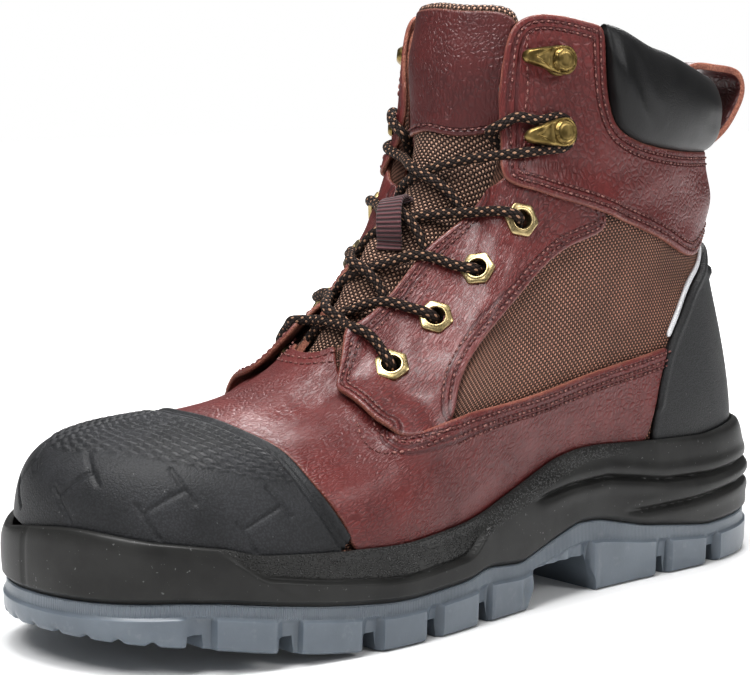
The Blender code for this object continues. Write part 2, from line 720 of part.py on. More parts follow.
def outsole():
    """Tread with toe spring, cut into lugs by gaps across it and two channels along it."""
    floor = sole_height("floor", RING)
    seam = sole_height("seam", RING)
    rings = [sole_ring(np.full(RING_POINTS, inset), height) for inset, height in
             ((3.4, floor), (1.0, floor + 3), (0.0, floor + 0.5 * (seam - floor)), (1.4, seam - GAP))]
    tread = loft("outsole", rings, OUTSOLE_GREY)
    places = [row.x for row in SOLE_ROWS]
    below = -5.0
    for number, gap in enumerate(LUG_GAPS, 1):
        root = np.interp(gap.x, places, [row.web for row in SOLE_ROWS])
        width = 2 * SOLE_WIDTH
        cut(tread, wedge(f"lug_gap_{number}", (gap.x, 0), (gap.wide, width), (gap.narrow, width),
                         below, root))
    for number, channel in enumerate(CHANNELS, 1):
        for side in (1, -1):
            middle = ((channel.back + channel.front) / 2, side * CHANNEL_Y)
            length = channel.front - channel.back
            cut(tread, wedge(f"channel_{number}_{side}", middle, (length, CHANNEL_WIDTH),
                             (length, CHANNEL_WIDTH - 2), below, channel.depth))
    return tread


def insole():
    places = RING[::2]
    ring = over_upper(places, np.zeros(len(places)), np.full(len(places), -INSOLE_INSET))
    bed = upper_point(places, np.zeros(len(places)))[:, 2]
    bottom = np.column_stack([ring[:, :2], bed])
    return loft("insole", [bottom, bottom + (0, 0, INSOLE_THICKNESS)], LINING)


# Tongue and what it carries

def inside_throat(girths, level, depth):
    """Points under the shell on the inner and the outer side, leant to the middle where it curls in."""
    levels = np.full(2, level)
    normals = upper_normal(girths, levels)
    sides = np.array([-1, 1])
    normals[:, 1] = sides * np.maximum(sides * normals[:, 1], TONGUE_MIN_LEAN)
    normals /= np.linalg.norm(normals, axis=1, keepdims=True)
    return upper_point(girths, levels) - normals * depth


def tongue_sections():
    """Seven points across each row of the tongue, from the inner side to the outer side."""
    rows = []
    for row in TONGUE_ROWS:
        girths = np.array([GIRTH - row.girth, row.girth])
        tucked = inside_throat(girths, row.tuck, WALL + row.clear)
        beside = inside_throat(girths, row.rim, WALL + row.clear)
        middle = beside.mean(axis=0)
        rows.append((tucked, beside, middle))
    middles = np.array([middle for _, _, middle in rows])
    run = np.gradient(middles, axis=0)
    outwards = np.column_stack([run[:, 2], 0 * run[:, 1], -run[:, 0]])
    outwards /= np.linalg.norm(outwards, axis=1, keepdims=True)
    sections = []
    for row, (tucked, beside, middle), out in zip(TONGUE_ROWS, rows, outwards):
        crest = middle + out * row.crown
        shoulder = [0.5 * (side + middle) + out * row.crown * 0.68 for side in beside]
        sections.append([tucked[0], beside[0], shoulder[0], crest, shoulder[1], beside[1], tucked[1]])
    sections = np.array(sections)
    top = sections[-1] + (sections[-1] - sections[-2]) * TONGUE_RISE / np.linalg.norm(run[-1])
    return np.concatenate([sections, top[None]])


TONGUE = tongue_sections()
TONGUE_ACROSS = (-1, -0.7, -0.36, 0, 0.36, 0.7, 1)


def tongue_point(along, across):
    """Points on the tongue's outside: along 0 to 1 from toe to top, across -1 to 1."""
    along, across = np.broadcast_arrays(np.asarray(along, float), np.asarray(across, float))
    rows = np.linspace(0, 1, len(TONGUE))
    columns = spline(rows, TONGUE.reshape(len(TONGUE), -1), along.ravel())
    columns = columns.reshape(-1, len(TONGUE_ACROSS), 3).transpose(1, 0, 2)
    return spline(TONGUE_ACROSS, columns, across.ravel()).reshape(along.shape + (3,))


def over_tongue(along, across, height):
    along, across = np.broadcast_arrays(np.asarray(along, float), np.asarray(across, float))
    lengthwise = tongue_point(along + 0.01, across) - tongue_point(along - 0.01, across)
    crosswise = tongue_point(along, across + 0.02) - tongue_point(along, across - 0.02)
    normal = np.cross(lengthwise, crosswise)
    normal /= np.linalg.norm(normal, axis=-1, keepdims=True)
    normal *= np.sign(normal[..., [0]])
    return tongue_point(along, across) + normal * np.asarray(height)[..., None]


def tongue_sheet(name, along, across, height, thickness, material, outwards):
    """Sheet on the tongue; its height may change along it."""
    height = np.broadcast_to(np.asarray(height)[None, :], (len(across), len(along)))
    points = over_tongue(along[None, :], across[::-1][:, None], height)
    return sheet(name, points, thickness, material, outwards)


def tongue():
    tongue_sheet("tongue", np.linspace(0, 1, 12), np.linspace(-1, 1, 7), np.zeros(12),
                 TONGUE_THICKNESS, NYLON, outwards=False)
    tongue_sheet("tongue_patch", np.linspace(*PATCH_SPAN, 5), np.linspace(-PATCH_HALF, PATCH_HALF, 5),
                 np.full(5, PATCH_GAP), PATCH_THICKNESS, LEATHER_RED, outwards=True)
    arch = KEEPER_FOOT + (KEEPER_HEIGHT - KEEPER_FOOT) * np.sin(np.linspace(0, math.pi, 9)) ** 0.4
    tongue_sheet("lace_keeper", np.linspace(*KEEPER_SPAN, 9), np.array([-KEEPER_HALF, KEEPER_HALF]),
                 arch, KEEPER_THICKNESS, WEBBING, outwards=True)


def pull_loop():
    lengths = chord_lengths(LOOP_ROUTE)
    route = spline(lengths, LOOP_ROUTE, np.linspace(0, lengths[-1], 17))
    points = [[(x, y, z) for y in (LOOP_WIDTH / 2, -LOOP_WIDTH / 2)] for x, z in route]
    sheet("pull_loop", np.array(points), LOOP_THICKNESS, LEATHER_RED, outwards=False)


# Eyelets, hooks and laces

def on_upper(place, side, height):
    """Matrix that stands a fitting on the shell with its X axis to the front, Z axis outwards."""
    girth = place[0] if side > 0 else GIRTH - place[0]
    point, normal = on_shell(girth, place[1])
    outwards = Vector(normal)
    forward = Vector(on_shell(girth + side, place[1])[0] - on_shell(girth - side, place[1])[0])
    forward = (forward - outwards * forward.dot(outwards)).normalized()
    matrix = Matrix((forward, outwards.cross(forward), outwards)).transposed().to_4x4()
    matrix.translation = Vector(to_frame(point + normal * height)[0])
    return matrix


def disc(name, radius, bottom, top, sides, collection=CUTTERS):
    """Upright cylinder about the Z axis, in millimetres, made in metres."""
    form = bmesh.new()
    bmesh.ops.create_cone(form, cap_ends=True, segments=sides, radius1=radius / 1000,
                          radius2=radius / 1000, depth=(top - bottom) / 1000)
    bmesh.ops.translate(form, verts=form.verts, vec=(0, 0, (top + bottom) / 2000))
    mesh = bpy.data.meshes.new(name)
    form.to_mesh(mesh)
    form.free()
    piece = bpy.data.objects.new(name, mesh)
    collection.objects.link(piece)
    hide_cutter(piece)
    return piece


def fused_mesh(name, base, steps, material):
    """Mesh of a base after joining or cutting with other pieces, which are then removed."""
    for operation, tool in steps:
        cut(base, tool, operation)
    mesh = evaluated_mesh(base)
    mesh.name = name
    mesh.materials.clear()
    mesh.materials.append(material)
    for piece in [base] + [tool for _, tool in steps]:
        bpy.data.objects.remove(piece)
    return mesh


def eyelet_mesh():
    depth = OVER_LEATHER + WALL + 0.6
    flange = disc("flange", EYELET_FLANGE_RADIUS, 0, FLANGE_THICKNESS, 6)
    barrel = disc("barrel", EYELET_BARREL_RADIUS, -depth, FLANGE_THICKNESS / 2, HOLE_SIDES)
    bore = disc("bore", EYELET_BORE_RADIUS, -depth - 1, FLANGE_THICKNESS + 1, HOLE_SIDES)
    return fused_mesh("eyelet", flange, (("UNION", barrel), ("DIFFERENCE", bore)), BRASS)


def hook_arm():
    """Teardrop plate that points forwards over the hook's foot."""
    outline = []
    for centre, radius, start in ((0, HOOK_RADIUS - 0.2, 0.5), (HOOK_ARM_REACH, HOOK_TIP_RADIUS, -0.5)):
        for k in range(6):
            angle = math.pi * (start + k / 5)
            outline.append((centre + radius * math.cos(angle), radius * math.sin(angle)))
    form = bmesh.new()
    bottom = (HOOK_HEIGHT - HOOK_PLATE) / 1000
    corners = [form.verts.new((x / 1000, y / 1000, bottom)) for x, y in outline]
    face = form.faces.new(corners)
    raised = bmesh.ops.extrude_face_region(form, geom=[face])["geom"]
    moved = [item for item in raised if isinstance(item, bmesh.types.BMVert)]
    bmesh.ops.translate(form, verts=moved, vec=(0, 0, HOOK_PLATE / 1000))
    bmesh.ops.recalc_face_normals(form, faces=form.faces)
    mesh = bpy.data.meshes.new("arm")
    form.to_mesh(mesh)
    form.free()
    piece = bpy.data.objects.new("arm", mesh)
    CUTTERS.objects.link(piece)
    return piece


def hook_mesh():
    foot = disc("foot", HOOK_RADIUS, 0, 1.1, DISC_SIDES)
    post = disc("post", HOOK_RADIUS - 1.5, 0.5, HOOK_HEIGHT - 0.6, DISC_SIDES)
    return fused_mesh("hook", foot, (("UNION", post), ("UNION", hook_arm())), BRASS)


def fittings(shell, stays):
    """Eyelets through the eyestays and the shell, and hooks on the ankle panel."""
    eyelet = eyelet_mesh()
    hook = hook_mesh()
    for side, word, stay in ((1, "lateral", stays[0]), (-1, "medial", stays[1])):
        for number, place in enumerate(EYELETS, 1):
            hole = disc(f"hole_{word}_{number}", EYELET_HOLE_RADIUS, -EYELET_HOLE_REACH,
                        EYELET_HOLE_REACH, HOLE_SIDES)
            hole.matrix_world = on_upper(place, side, 0)
            cut(shell, hole)
            cut(stay, hole)
            piece = bpy.data.objects.new(f"eyelet_{word}_{number}", eyelet)
            PARTS.objects.link(piece)
            piece.matrix_world = on_upper(place, side, OVER_LEATHER)
        for number, place in enumerate(HOOKS, 1):
            piece = bpy.data.objects.new(f"hook_{word}_{number}", hook)
            PARTS.objects.link(piece)
            piece.matrix_world = on_upper(place, side, OVER_LEATHER)


def lace_start(row, side):
    """Points over the leather from beside a fastening to the throat's edge."""
    girth, level = row.place
    run = []
    for share in np.linspace(0, 1, 41):
        place = girth + (row.throat - girth) * share
        point, normal = on_shell(place if side > 0 else GIRTH - place, level + (1 - level) * share)
        run.append(point + normal * (OVER_LEATHER + LACE_RADIUS + row.lift))
    run = np.array(run)
    lengths = chord_lengths(run)
    count = max(2, math.ceil((lengths[-1] - row.start) / LACE_STEP) + 1)
    wanted = np.linspace(row.start, lengths[-1], count)
    return [run[int(np.argmin(np.abs(lengths - place)))] for place in wanted]


def lace_strand(name, points):
    """Mesh of a tube of cord along a smooth line through the points."""
    lengths = chord_lengths(points)
    line = spline(lengths, points, np.linspace(0, lengths[-1], LACE_POINTS))
    curve = bpy.data.curves.new(name, "CURVE")
    curve.dimensions = "3D"
    curve.bevel_depth = LACE_RADIUS / 1000
    curve.bevel_resolution = 1
    curve.use_fill_caps = True
    track = curve.splines.new("POLY")
    track.points.add(len(line) - 1)
    for point, place in zip(track.points, to_frame(line)):
        point.co = (*place, 1)
    wire = bpy.data.objects.new(name, curve)
    CUTTERS.objects.link(wire)
    mesh = evaluated_mesh(wire)
    bpy.data.objects.remove(wire)
    form = bmesh.new()
    form.from_mesh(mesh)
    bmesh.ops.remove_doubles(form, verts=form.verts, dist=1e-6)
    bmesh.ops.recalc_face_normals(form, faces=form.faces)
    form.to_mesh(mesh)
    form.free()
    return mesh


def laces():
    """A bar across the lowest eyelets, and above it a crossing between each two rows."""
    over = LACE_RADIUS + LACE_OVER_TONGUE
    trial = np.linspace(0, 1, 201)
    ridge = over_tongue(trial, np.zeros(201), np.full(201, over))
    rows = []
    for row in LACE_ROWS:
        middle = on_shell(*row.place)[0] * (1, 0, 1)
        rows.append(trial[int(np.argmin(np.linalg.norm(ridge * (1, 0, 1) - middle, axis=1)))])

    def over_ridge(along, across=0.0):
        return over_tongue(np.array([along]), np.array([across]), np.array([over]))[0]

    middle = over_ridge(rows[0] + BAR_RISE)
    points = lace_start(LACE_ROWS[0], 1) + [middle] + lace_start(LACE_ROWS[0], -1)[::-1]
    mesh_piece("lace_bar", lace_strand("bar", points), CORD)
    for number in range(1, len(LACE_ROWS)):
        step = rows[number] - rows[number - 1]
        crossing = over_ridge(rows[number - 1] + CROSSING_SHARE * step)
        strands = []
        for side in (1, -1):
            far = over_ridge(rows[number - 1] + STRAND_END_SHARE * step, -STRAND_END_ACROSS * side)
            points = lace_start(LACE_ROWS[number], side) + [crossing, far]
            strands.append(mesh_piece(f"strand_{side}", lace_strand("strand", points), CORD, CUTTERS))
        mesh = fused_mesh(f"lace_cross_{number}", strands[0], (("UNION", strands[1]),), CORD)
        PARTS.objects.link(bpy.data.objects.new(f"lace_cross_{number}", mesh))


def main():
    shell = upper()
    outsole()
    midsole()
    insole()
    toe_cap()
    vamp()
    stays = eyestays()
    ankle_panel()
    heel_counter()
    piping()
    collar()
    tongue()
    pull_loop()
    fittings(shell, stays)
    laces()


main()
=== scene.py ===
import math
from collections import namedtuple

import bmesh
import bpy
import numpy as np
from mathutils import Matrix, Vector, kdtree


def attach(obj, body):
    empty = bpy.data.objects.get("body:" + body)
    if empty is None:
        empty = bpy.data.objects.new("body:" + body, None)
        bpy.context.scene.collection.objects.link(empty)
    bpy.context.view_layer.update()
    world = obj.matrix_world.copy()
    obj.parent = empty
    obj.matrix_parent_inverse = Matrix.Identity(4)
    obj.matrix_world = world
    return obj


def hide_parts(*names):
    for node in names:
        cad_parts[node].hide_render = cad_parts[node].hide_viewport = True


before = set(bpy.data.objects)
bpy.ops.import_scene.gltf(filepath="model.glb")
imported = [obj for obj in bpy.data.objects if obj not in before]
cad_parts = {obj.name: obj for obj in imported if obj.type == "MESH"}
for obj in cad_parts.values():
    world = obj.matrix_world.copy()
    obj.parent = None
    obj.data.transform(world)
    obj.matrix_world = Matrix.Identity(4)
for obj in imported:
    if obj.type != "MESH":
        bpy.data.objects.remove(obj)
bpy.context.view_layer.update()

# Sizes are in millimetres from the back of the sole, and become metres in the boot's frame when a
# mesh is made. A place on the upper has two numbers: its girth, in millimetres along the sole's
# edge from the heel towards the toe, and its level in hundredths, from 0 at the feather line to
# 100 at the topline.
SOLE_LENGTH = 310.0
SOLE_WIDTH = 110.5
SHAFT_HEIGHT = 195.0
FRAME_ORIGIN = np.array([151.55, 1.640845, 0.0])
WALL = 2.2
SEAT = 0.1
LEATHER = 1.7
LACE_RADIUS = 1.8
THROAT_PULL = (0.0, 3.2, -1.6)

# Sections of the last: its place on the sole's edge (x, half width, swing to the outer side),
# then x, half width and height at six levels
Section = namedtuple("Section", "name edge_x edge_half swing feather lip low middle high top")
LEVELS = (0, 17, 36, 58, 79, 100)
SECTIONS = (
    Section("heel", 0, 0, 0,
            (11, 0, 38), (10, 0, 56), (15.5, 0, 85), (22, 0, 116), (23.5, 0, 146), (22, 0, 177)),
    Section("heel corner", 3, 17.5, 0.5,
            (14, 15, 38), (13.5, 15, 56), (19, 14.5, 85), (25.5, 13, 116), (26.5, 13.5, 146),
            (25.5, 14.5, 177)),
    Section("heel side", 26, 35.5, 0.5,
            (32, 28, 38), (32, 30, 55), (36, 28, 85), (41, 25, 116), (42, 25.5, 146),
            (41, 27.5, 179)),
    Section("heel front", 72, 40.75, 0.75,
            (72, 33, 38), (72, 36.5, 55), (71, 36, 85), (70, 34, 116), (70, 34.5, 146),
            (71, 36.5, 187)),
    Section("waist", 118, 41, 3,
            (118, 33, 37), (118, 37, 56), (113, 39.5, 85), (109, 38, 116), (106, 37, 150),
            (104, 37.5, SHAFT_HEIGHT - 1.5)),
    Section("arch", 160, 46.5, 4.5,
            (160, 38, 32), (160, 42.5, 48), (154, 43.5, 75), (147, 39.5, 107), (133, 34.5, 147),
            (134, 27, SHAFT_HEIGHT - 0.5)),
    Section("ball", 205, 54.5, 3.5,
            (205, 47.5, 25), (204, 50.5, 38), (192, 48, 60), (175, 41.5, 84), (157, 33, 112.5),
            (141, 25, 148)),
    Section("tread", 248, SOLE_WIDTH / 2, 0.25,
            (248, 48, 24), (247, 50.5, 36), (236, 48, 51), (215, 38, 64.5), (186, 27.5, 90),
            (163, 18.5, 125)),
    Section("toe side", 285, 45.75, -3.75,
            (283, 38, 27), (282, 40.5, 42), (273.5, 39.3, 58), (250, 30.4, 65.4), (213, 21.5, 74),
            (184, 16, 105)),
    Section("toe corner", 303, 27.5, -5.5,
            (299, 21.5, 29), (298, 23, 46), (290.5, 22.3, 62), (262.5, 17.5, 69.2), (226, 13, 74),
            (199, 11, 92)),
    Section("toe", SOLE_LENGTH, 0, -8,
            (303.5, 0, 30), (304, 0, 48), (297.5, 0, 64), (266.5, 0, 70.4), (231, 0, 75.5),
            (204, 0, 88.5)),
)

# Heights along the sole: lug bottoms, top of the outsole, shelf line of the midsole's side and
# the midsole's top lip
SoleRow = namedtuple("SoleRow", "x floor seam shelf lip")
SOLE_ROWS = (
    SoleRow(0, 2.5, 17.5, 35, 51), SoleRow(14, 0, 16, 35, 51), SoleRow(45, 0, 15.4, 34.2, 49),
    SoleRow(80, 0, 20, 37, 50.4), SoleRow(104, 0, 25.5, 40.3, 52), SoleRow(115, 0, 26, 40, 52),
    SoleRow(128, 0, 22.5, 39, 50), SoleRow(147, 0, 17, 36.5, 43.4), SoleRow(166, 0, 19, 33, 37.5),
    SoleRow(176, 0, 16.5, 24, 35.6), SoleRow(205, 0, 15.4, 22, 33.6), SoleRow(215, 0, 15.8, 22.6, 33.8),
    SoleRow(240, 2.6, 18.3, 25.6, 35.2), SoleRow(262, 5.8, 21.2, 29.2, 36.6),
    SoleRow(273, 7.6, 22.8, 36, 39.6), SoleRow(285, 9.2, 23.6, 38, 41.2),
    SoleRow(SOLE_LENGTH, 11.2, 22.6, 39.4, 42.6),
)

# Panel edges on the upper as (girth, level)
CAP_FOOT_GIRTH = 256.0
CAP_REAR = ((253, 20), (262, 28.4), (274, 39.4), (289, 53.2), (308, 61.8), (331, 65.8), (362.5, 66.4))
VAMP_FOOT = (249.5, 98.6)
VAMP_REAR = ((95.1, 22.8), (91.7, 29.8), (86.5, 35.2))
VAMP_TOP = ((86.5, 35.2), (121, 32.2), (155, 31.5), (190, 36.2), (230, 44.5), (248, 49.8), (256, 56),
            (268, 66), (289, 76.5), (308, 85), (322, 92), (334, 100))
STAY_FRONT = ((256, 55.4), (272, 65.5), (292, 75.6), (312, 86), (327, 100))
STAY_THROAT = ((327, 100), (238, 100))
STAY_TOP = ((238, 100), (231, 98.7), (223.5, 95.5), (213, 90.6), (206, 88), (198, 85.6), (190, 82.8),
            (168, 76.4), (150, 74), (133, 71.5))
STAY_REAR = ((133, 71.5), (131, 69.2), (150, 63.5), (178, 58.2), (203, 57.2), (221, 53.5), (219.5, 44))
STAY_FOOT = ((219.5, 40.8), (238, 45), (249, 49))
ANKLE_LOW = ((0, 61.6), (14, 61.3), (28, 60.3), (42, 57.6), (55, 56.8), (80, 60.7), (104, 65.2),
             (120, 67.8), (135, 70), (152, 71.9), (166, 73.6), (179, 76.2), (190, 79.5), (200, 84),
             (205.5, 87.3))
ANKLE_FRONT = ((205.5, 87.3), (207.8, 90), (207.6, 94), (206, 100))
ANKLE_TOP = ((206, 100), (190, 101), (170, 101.5), (152, 102), (137, 102.4))
ANKLE_BACK = ((137, 102.4), (136, 98), (134.2, 92.6), (130.5, 88.6), (122, 86), (100, 84.4),
              (60, 83.5), (0, 83))
COUNTER_FOOT_GIRTH = 98.0
COUNTER_TOP = ((94.5, 22.8), (91, 29.8), (84.5, 36.2), (74.5, 41.4), (60, 47.7), (39, 52.9),
               (25, 57.6), (12, 59.6), (0, 60))
COUNTER_KNOB = (26.0, 51.0)
COUNTER_THICKNESS = 2.3
PIPING_BACK = ((85.8, 36.1), (75.3, 41.7), (61, 48.2), (40, 53.4), (27.5, 57.7))
PIPING_FRONT = ((28.5, 59.3), (41, 55), (62, 49.8), (76.3, 43.3), (86.9, 37.6))
PIPING_THICKNESS = 1.1
COLLAR_LOW = ((135.6, 98.6), (135.2, 96), (133.6, 92.8), (130, 89), (122, 86.4), (100, 84.8),
              (60, 83.9), (0, 83.4))

EYELETS = ((271, 76.4), (252.8, 80.7), (226.7, 81.1), (190.4, 74.4))
HOOKS = ((165, 83.9), (160.6, 94.9))

# Rows of the tongue: girth of the throat beside it, level of its tucked edge, level where it
# leaves the shell, clearance under the shell, and crown over the throat
TongueRow = namedtuple("TongueRow", "girth tuck rim clear crown")
TONGUE_ROWS = (
    TongueRow(324, 82, 90, 1.6, 0.5), TongueRow(322, 87, 96, 1.4, 3.5), TongueRow(314, 91, 100, 1.2, 6.5),
    TongueRow(302, 92, 100, 1.2, 8.5), TongueRow(286, 92, 100, 1.2, 10), TongueRow(268, 91, 100, 1.2, 11.5),
    TongueRow(249, 91, 100, 1.4, 13.5), TongueRow(229, 92, 100, 1.6, 15.5), TongueRow(210, 94, 100, 1.6, 15),
    TongueRow(195, 95, 100, 1.6, 14.5), TongueRow(183, 95, 100, 1.6, 13.5),
)
TONGUE_RISE = 10.0
TONGUE_CORNERS = (0.6, 0.75, 0.97, 1, 1, 0.9, 0.75)
TONGUE_MIN_LEAN = 0.35
TONGUE_THICKNESS = 4.5
TONGUE_DROP = 0.6

# Side view of the pull loop's strap, from inside the collar to its seam under the collar
LOOP_ROUTE = ((31.5, 164), (31.5, 174), (28.3, 181.6), (14, 182.9), (4.5, 181.8), (-1.4, 179.2),
              (-3.0, 174.5), (0.2, 167), (7, 159.4), (14, 155))
LOOP_WIDTH = 21.0
LOOP_THICKNESS = 2.6


# Curves and the last

def spline(knots, rows, at, period=None):
    """Values at the places `at` on the smooth curve through one row of values for each knot.

    Rows of shape (knots, values) are one curve; rows of shape (knots, places, values) give each
    place a curve of its own. A period closes the curve.
    """
    knots = np.asarray(knots, float)
    rows = np.asarray(rows, float)
    at = np.asarray(at, float)
    if period:
        knots = np.concatenate([knots - period, knots, knots + period])
        rows = np.concatenate([rows, rows, rows])
        at = np.mod(at, period)
    step = np.diff(knots)
    count = len(knots)
    slope = np.diff(rows, axis=0) / step.reshape((-1,) + (1,) * (rows.ndim - 1))
    system = np.eye(count)
    bend = np.zeros_like(rows)
    for i in range(1, count - 1):
        system[i, i - 1:i + 2] = step[i - 1], 2 * (step[i - 1] + step[i]), step[i]
        bend[i] = 6 * (slope[i] - slope[i - 1])
    bend = np.linalg.solve(system, bend.reshape(count, -1)).reshape(rows.shape)
    i = np.clip(np.searchsorted(knots, at, side="right") - 1, 0, count - 2)
    here = (i,) if rows.ndim == 2 else (i, np.arange(len(at)))
    there = (i + 1,) + here[1:]
    span = step[i][:, None]
    before = (knots[i + 1] - at)[:, None]
    after = (at - knots[i])[:, None]
    cubic = (bend[here] * before ** 3 + bend[there] * after ** 3) / (6 * span)
    start = (rows[here] / span - bend[here] * span / 6) * before
    end = (rows[there] / span - bend[there] * span / 6) * after
    return cubic + start + end


def running(grid, axis=0):
    """Running length along one axis of a grid of points."""
    steps = np.linalg.norm(np.diff(grid, axis=axis), axis=-1)
    return np.insert(np.cumsum(steps, axis=axis), 0, 0, axis=axis)


def chord_lengths(points):
    """Running length of a line through the points."""
    return running(np.asarray(points, float))


def unit(vectors):
    return vectors / np.maximum(np.linalg.norm(vectors, axis=-1, keepdims=True), 1e-9)


def smooth_step(value):
    value = np.clip(value, 0, 1)
    return value * value * (3 - 2 * value)


HALF_KNOTS = chord_lengths([(row.edge_x, row.edge_half) for row in SECTIONS])
HALF_GIRTH = HALF_KNOTS[-1]
GIRTH = 2 * HALF_GIRTH
RING_KNOTS = np.concatenate([HALF_KNOTS, (GIRTH - HALF_KNOTS[1:-1])[::-1]])


def both_sides(rows):
    """Rows of (outer side, inner side) from heel to toe as one closed ring of points."""
    outer = [pair[0] for pair in rows]
    inner = [pair[1] for pair in rows[1:-1]]
    return np.array(outer + inner[::-1], float)


def level_ring(number, level):
    """Points of the last's ring at one of its levels; the swing fades out towards the top."""
    rows = []
    for section in SECTIONS:
        x, half, height = section[4 + number]
        swing = section.swing * (1 - level / 100)
        rows.append(((x, half + swing, height), (x, swing - half, height)))
    return both_sides(rows)


EDGE_RING = both_sides([((row.edge_x, row.swing + row.edge_half),
                         (row.edge_x, row.swing - row.edge_half)) for row in SECTIONS])
LEVEL_RINGS = np.concatenate([level_ring(*pair) for pair in enumerate(LEVELS)], axis=1)


def sole_edge(girth):
    return spline(RING_KNOTS, EDGE_RING, girth, GIRTH)


def sole_edge_normal(girth):
    """Direction straight out from the sole's edge, in plan."""
    along = unit(sole_edge(girth + 0.5) - sole_edge(girth - 0.5))
    return np.stack([-along[:, 1], along[:, 0]], axis=1)


def drawn_in(girth, level):
    """How far the lace pulls the inner edge of the throat towards the middle, from 0 to 1."""
    place = np.mod(girth, GIRTH) - HALF_GIRTH
    along = smooth_step((place - 10) / 28) * (1 - smooth_step((place - HALF_GIRTH + 212) / 22))
    return along * smooth_step((level - 78) / 22)


def upper_point(girth, level):
    """Points on the outside of the upper's shell."""
    girth, level = np.broadcast_arrays(np.asarray(girth, float), np.asarray(level, float))
    columns = spline(RING_KNOTS, LEVEL_RINGS, girth.ravel(), GIRTH)
    columns = columns.reshape(-1, len(LEVELS), 3).transpose(1, 0, 2)
    points = spline(LEVELS, columns, level.ravel()).reshape(girth.shape + (3,))
    return points + np.multiply.outer(drawn_in(girth, level), THROAT_PULL)


def upper_normal(girth, level):
    along = upper_point(girth + 0.5, level) - upper_point(girth - 0.5, level)
    upwards = upper_point(girth, level + 0.4) - upper_point(girth, level - 0.4)
    return unit(np.cross(upwards, along))


def on_last(places):
    """Points and outward directions of the shell at rows of (girth, level)."""
    return upper_point(places[:, 0], places[:, 1]), upper_normal(places[:, 0], places[:, 1])


def over_last(places, height):
    points, normals = on_last(np.asarray(places, float).reshape(-1, 2))
    return points + normals * np.asarray(height, float).reshape(-1, 1)


def sole_height(column, girth):
    """One column of the sole's table at the places along the sole's edge."""
    places = [row.x for row in SOLE_ROWS]
    heights = [getattr(row, column) for row in SOLE_ROWS]
    fine = np.arange(0, SOLE_LENGTH + 1, 1.0)
    table = np.interp(fine, places, heights)
    kernel = np.hanning(13) / np.hanning(13).sum()
    padded = np.concatenate([np.full(6, table[0]), table, np.full(6, table[-1])])
    heights = np.interp(sole_edge(girth)[:, 0], fine, np.convolve(padded, kernel, "valid"))
    if column == "lip":
        heights += 2.6 * np.exp(-((girth - 340) / 20) ** 2) - 2.6 * np.exp(-((girth - 388) / 16) ** 2)
    return heights


def lip_level(girth, clearance=0.0):
    """Level of the upper at the top of the sole's lip, or a clearance above it."""
    girth = np.asarray(girth, float)
    tries = np.linspace(0, 40, 41)
    heights = upper_point(girth[:, None], tries[None, :])[..., 2]
    wanted = sole_height("lip", girth) + clearance
    return np.array([np.interp(z, column, tries) for z, column in zip(wanted, heights)])


# Tongue

def inside_throat(girths, level, depth):
    """Points under the shell on the inner and the outer side, leant to the middle where it curls in."""
    levels = np.full(2, level)
    normals = upper_normal(girths, levels)
    sides = np.array([-1, 1])
    normals[:, 1] = sides * np.maximum(sides * normals[:, 1], TONGUE_MIN_LEAN)
    return upper_point(girths, levels) - unit(normals) * depth


def tongue_sections():
    """Seven points across each row of the tongue, from the inner side to the outer side."""
    rows = []
    for number, row in enumerate(TONGUE_ROWS):
        girths = np.array([GIRTH - row.girth, row.girth])
        under = WALL + row.clear + TONGUE_DROP * min(1, number / 3, max(0, 9 - number) / 2)
        tucked = inside_throat(girths, row.tuck, under)
        beside = inside_throat(girths, row.rim, under)
        rows.append((tucked, beside, beside.mean(axis=0)))
    run = np.gradient(np.array([middle for _, _, middle in rows]), axis=0)
    outwards = unit(np.column_stack([run[:, 2], 0 * run[:, 1], -run[:, 0]]))
    sections = []
    for row, (tucked, beside, middle), out in zip(TONGUE_ROWS, rows, outwards):
        crest = middle + out * row.crown
        shoulder = [0.5 * (side + middle) + out * row.crown * full for side, full in zip(beside, (0.8, 0.68))]
        sections.append([tucked[0], beside[0], shoulder[0], crest, shoulder[1], beside[1], tucked[1]])
    sections = np.array(sections)
    rise = TONGUE_RISE * np.array(TONGUE_CORNERS)[:, None]
    top = sections[-1] + (sections[-1] - sections[-2]) * rise / np.linalg.norm(run[-1])
    return np.concatenate([sections, top[None]])


TONGUE = tongue_sections()
TONGUE_ACROSS = (-100, -70, -36, 0, 36, 70, 100)


def tongue_point(across, along):
    """Points on the tongue's outside: across -100 to 100, along 0 to 100 from toe to top."""
    columns = spline(np.linspace(0, 100, len(TONGUE)), TONGUE.reshape(len(TONGUE), -1), along)
    columns = columns.reshape(-1, len(TONGUE_ACROSS), 3).transpose(1, 0, 2)
    return spline(TONGUE_ACROSS, columns, across)


def on_tongue(places):
    """Points and outward directions of the tongue at rows of (across, along)."""
    across, along = places[:, 0], places[:, 1]
    lengthwise = tongue_point(across, along + 1) - tongue_point(across, along - 1)
    crosswise = tongue_point(across + 2, along) - tongue_point(across - 2, along)
    return tongue_point(across, along), unit(np.cross(crosswise, lengthwise))


def over_tongue(places, height):
    points, normals = on_tongue(np.asarray(places, float).reshape(-1, 2))
    return points + normals * np.asarray(height, float).reshape(-1, 1)


# Meshes

def to_frame(points):
    """Millimetres from the back of the sole to metres in the boot's frame."""
    return (np.asarray(points, float).reshape(-1, 3) - FRAME_ORIGIN) / 1000


def new_object(name, data):
    thing = bpy.data.objects.new(name, data)
    bpy.context.scene.collection.objects.link(thing)
    return thing


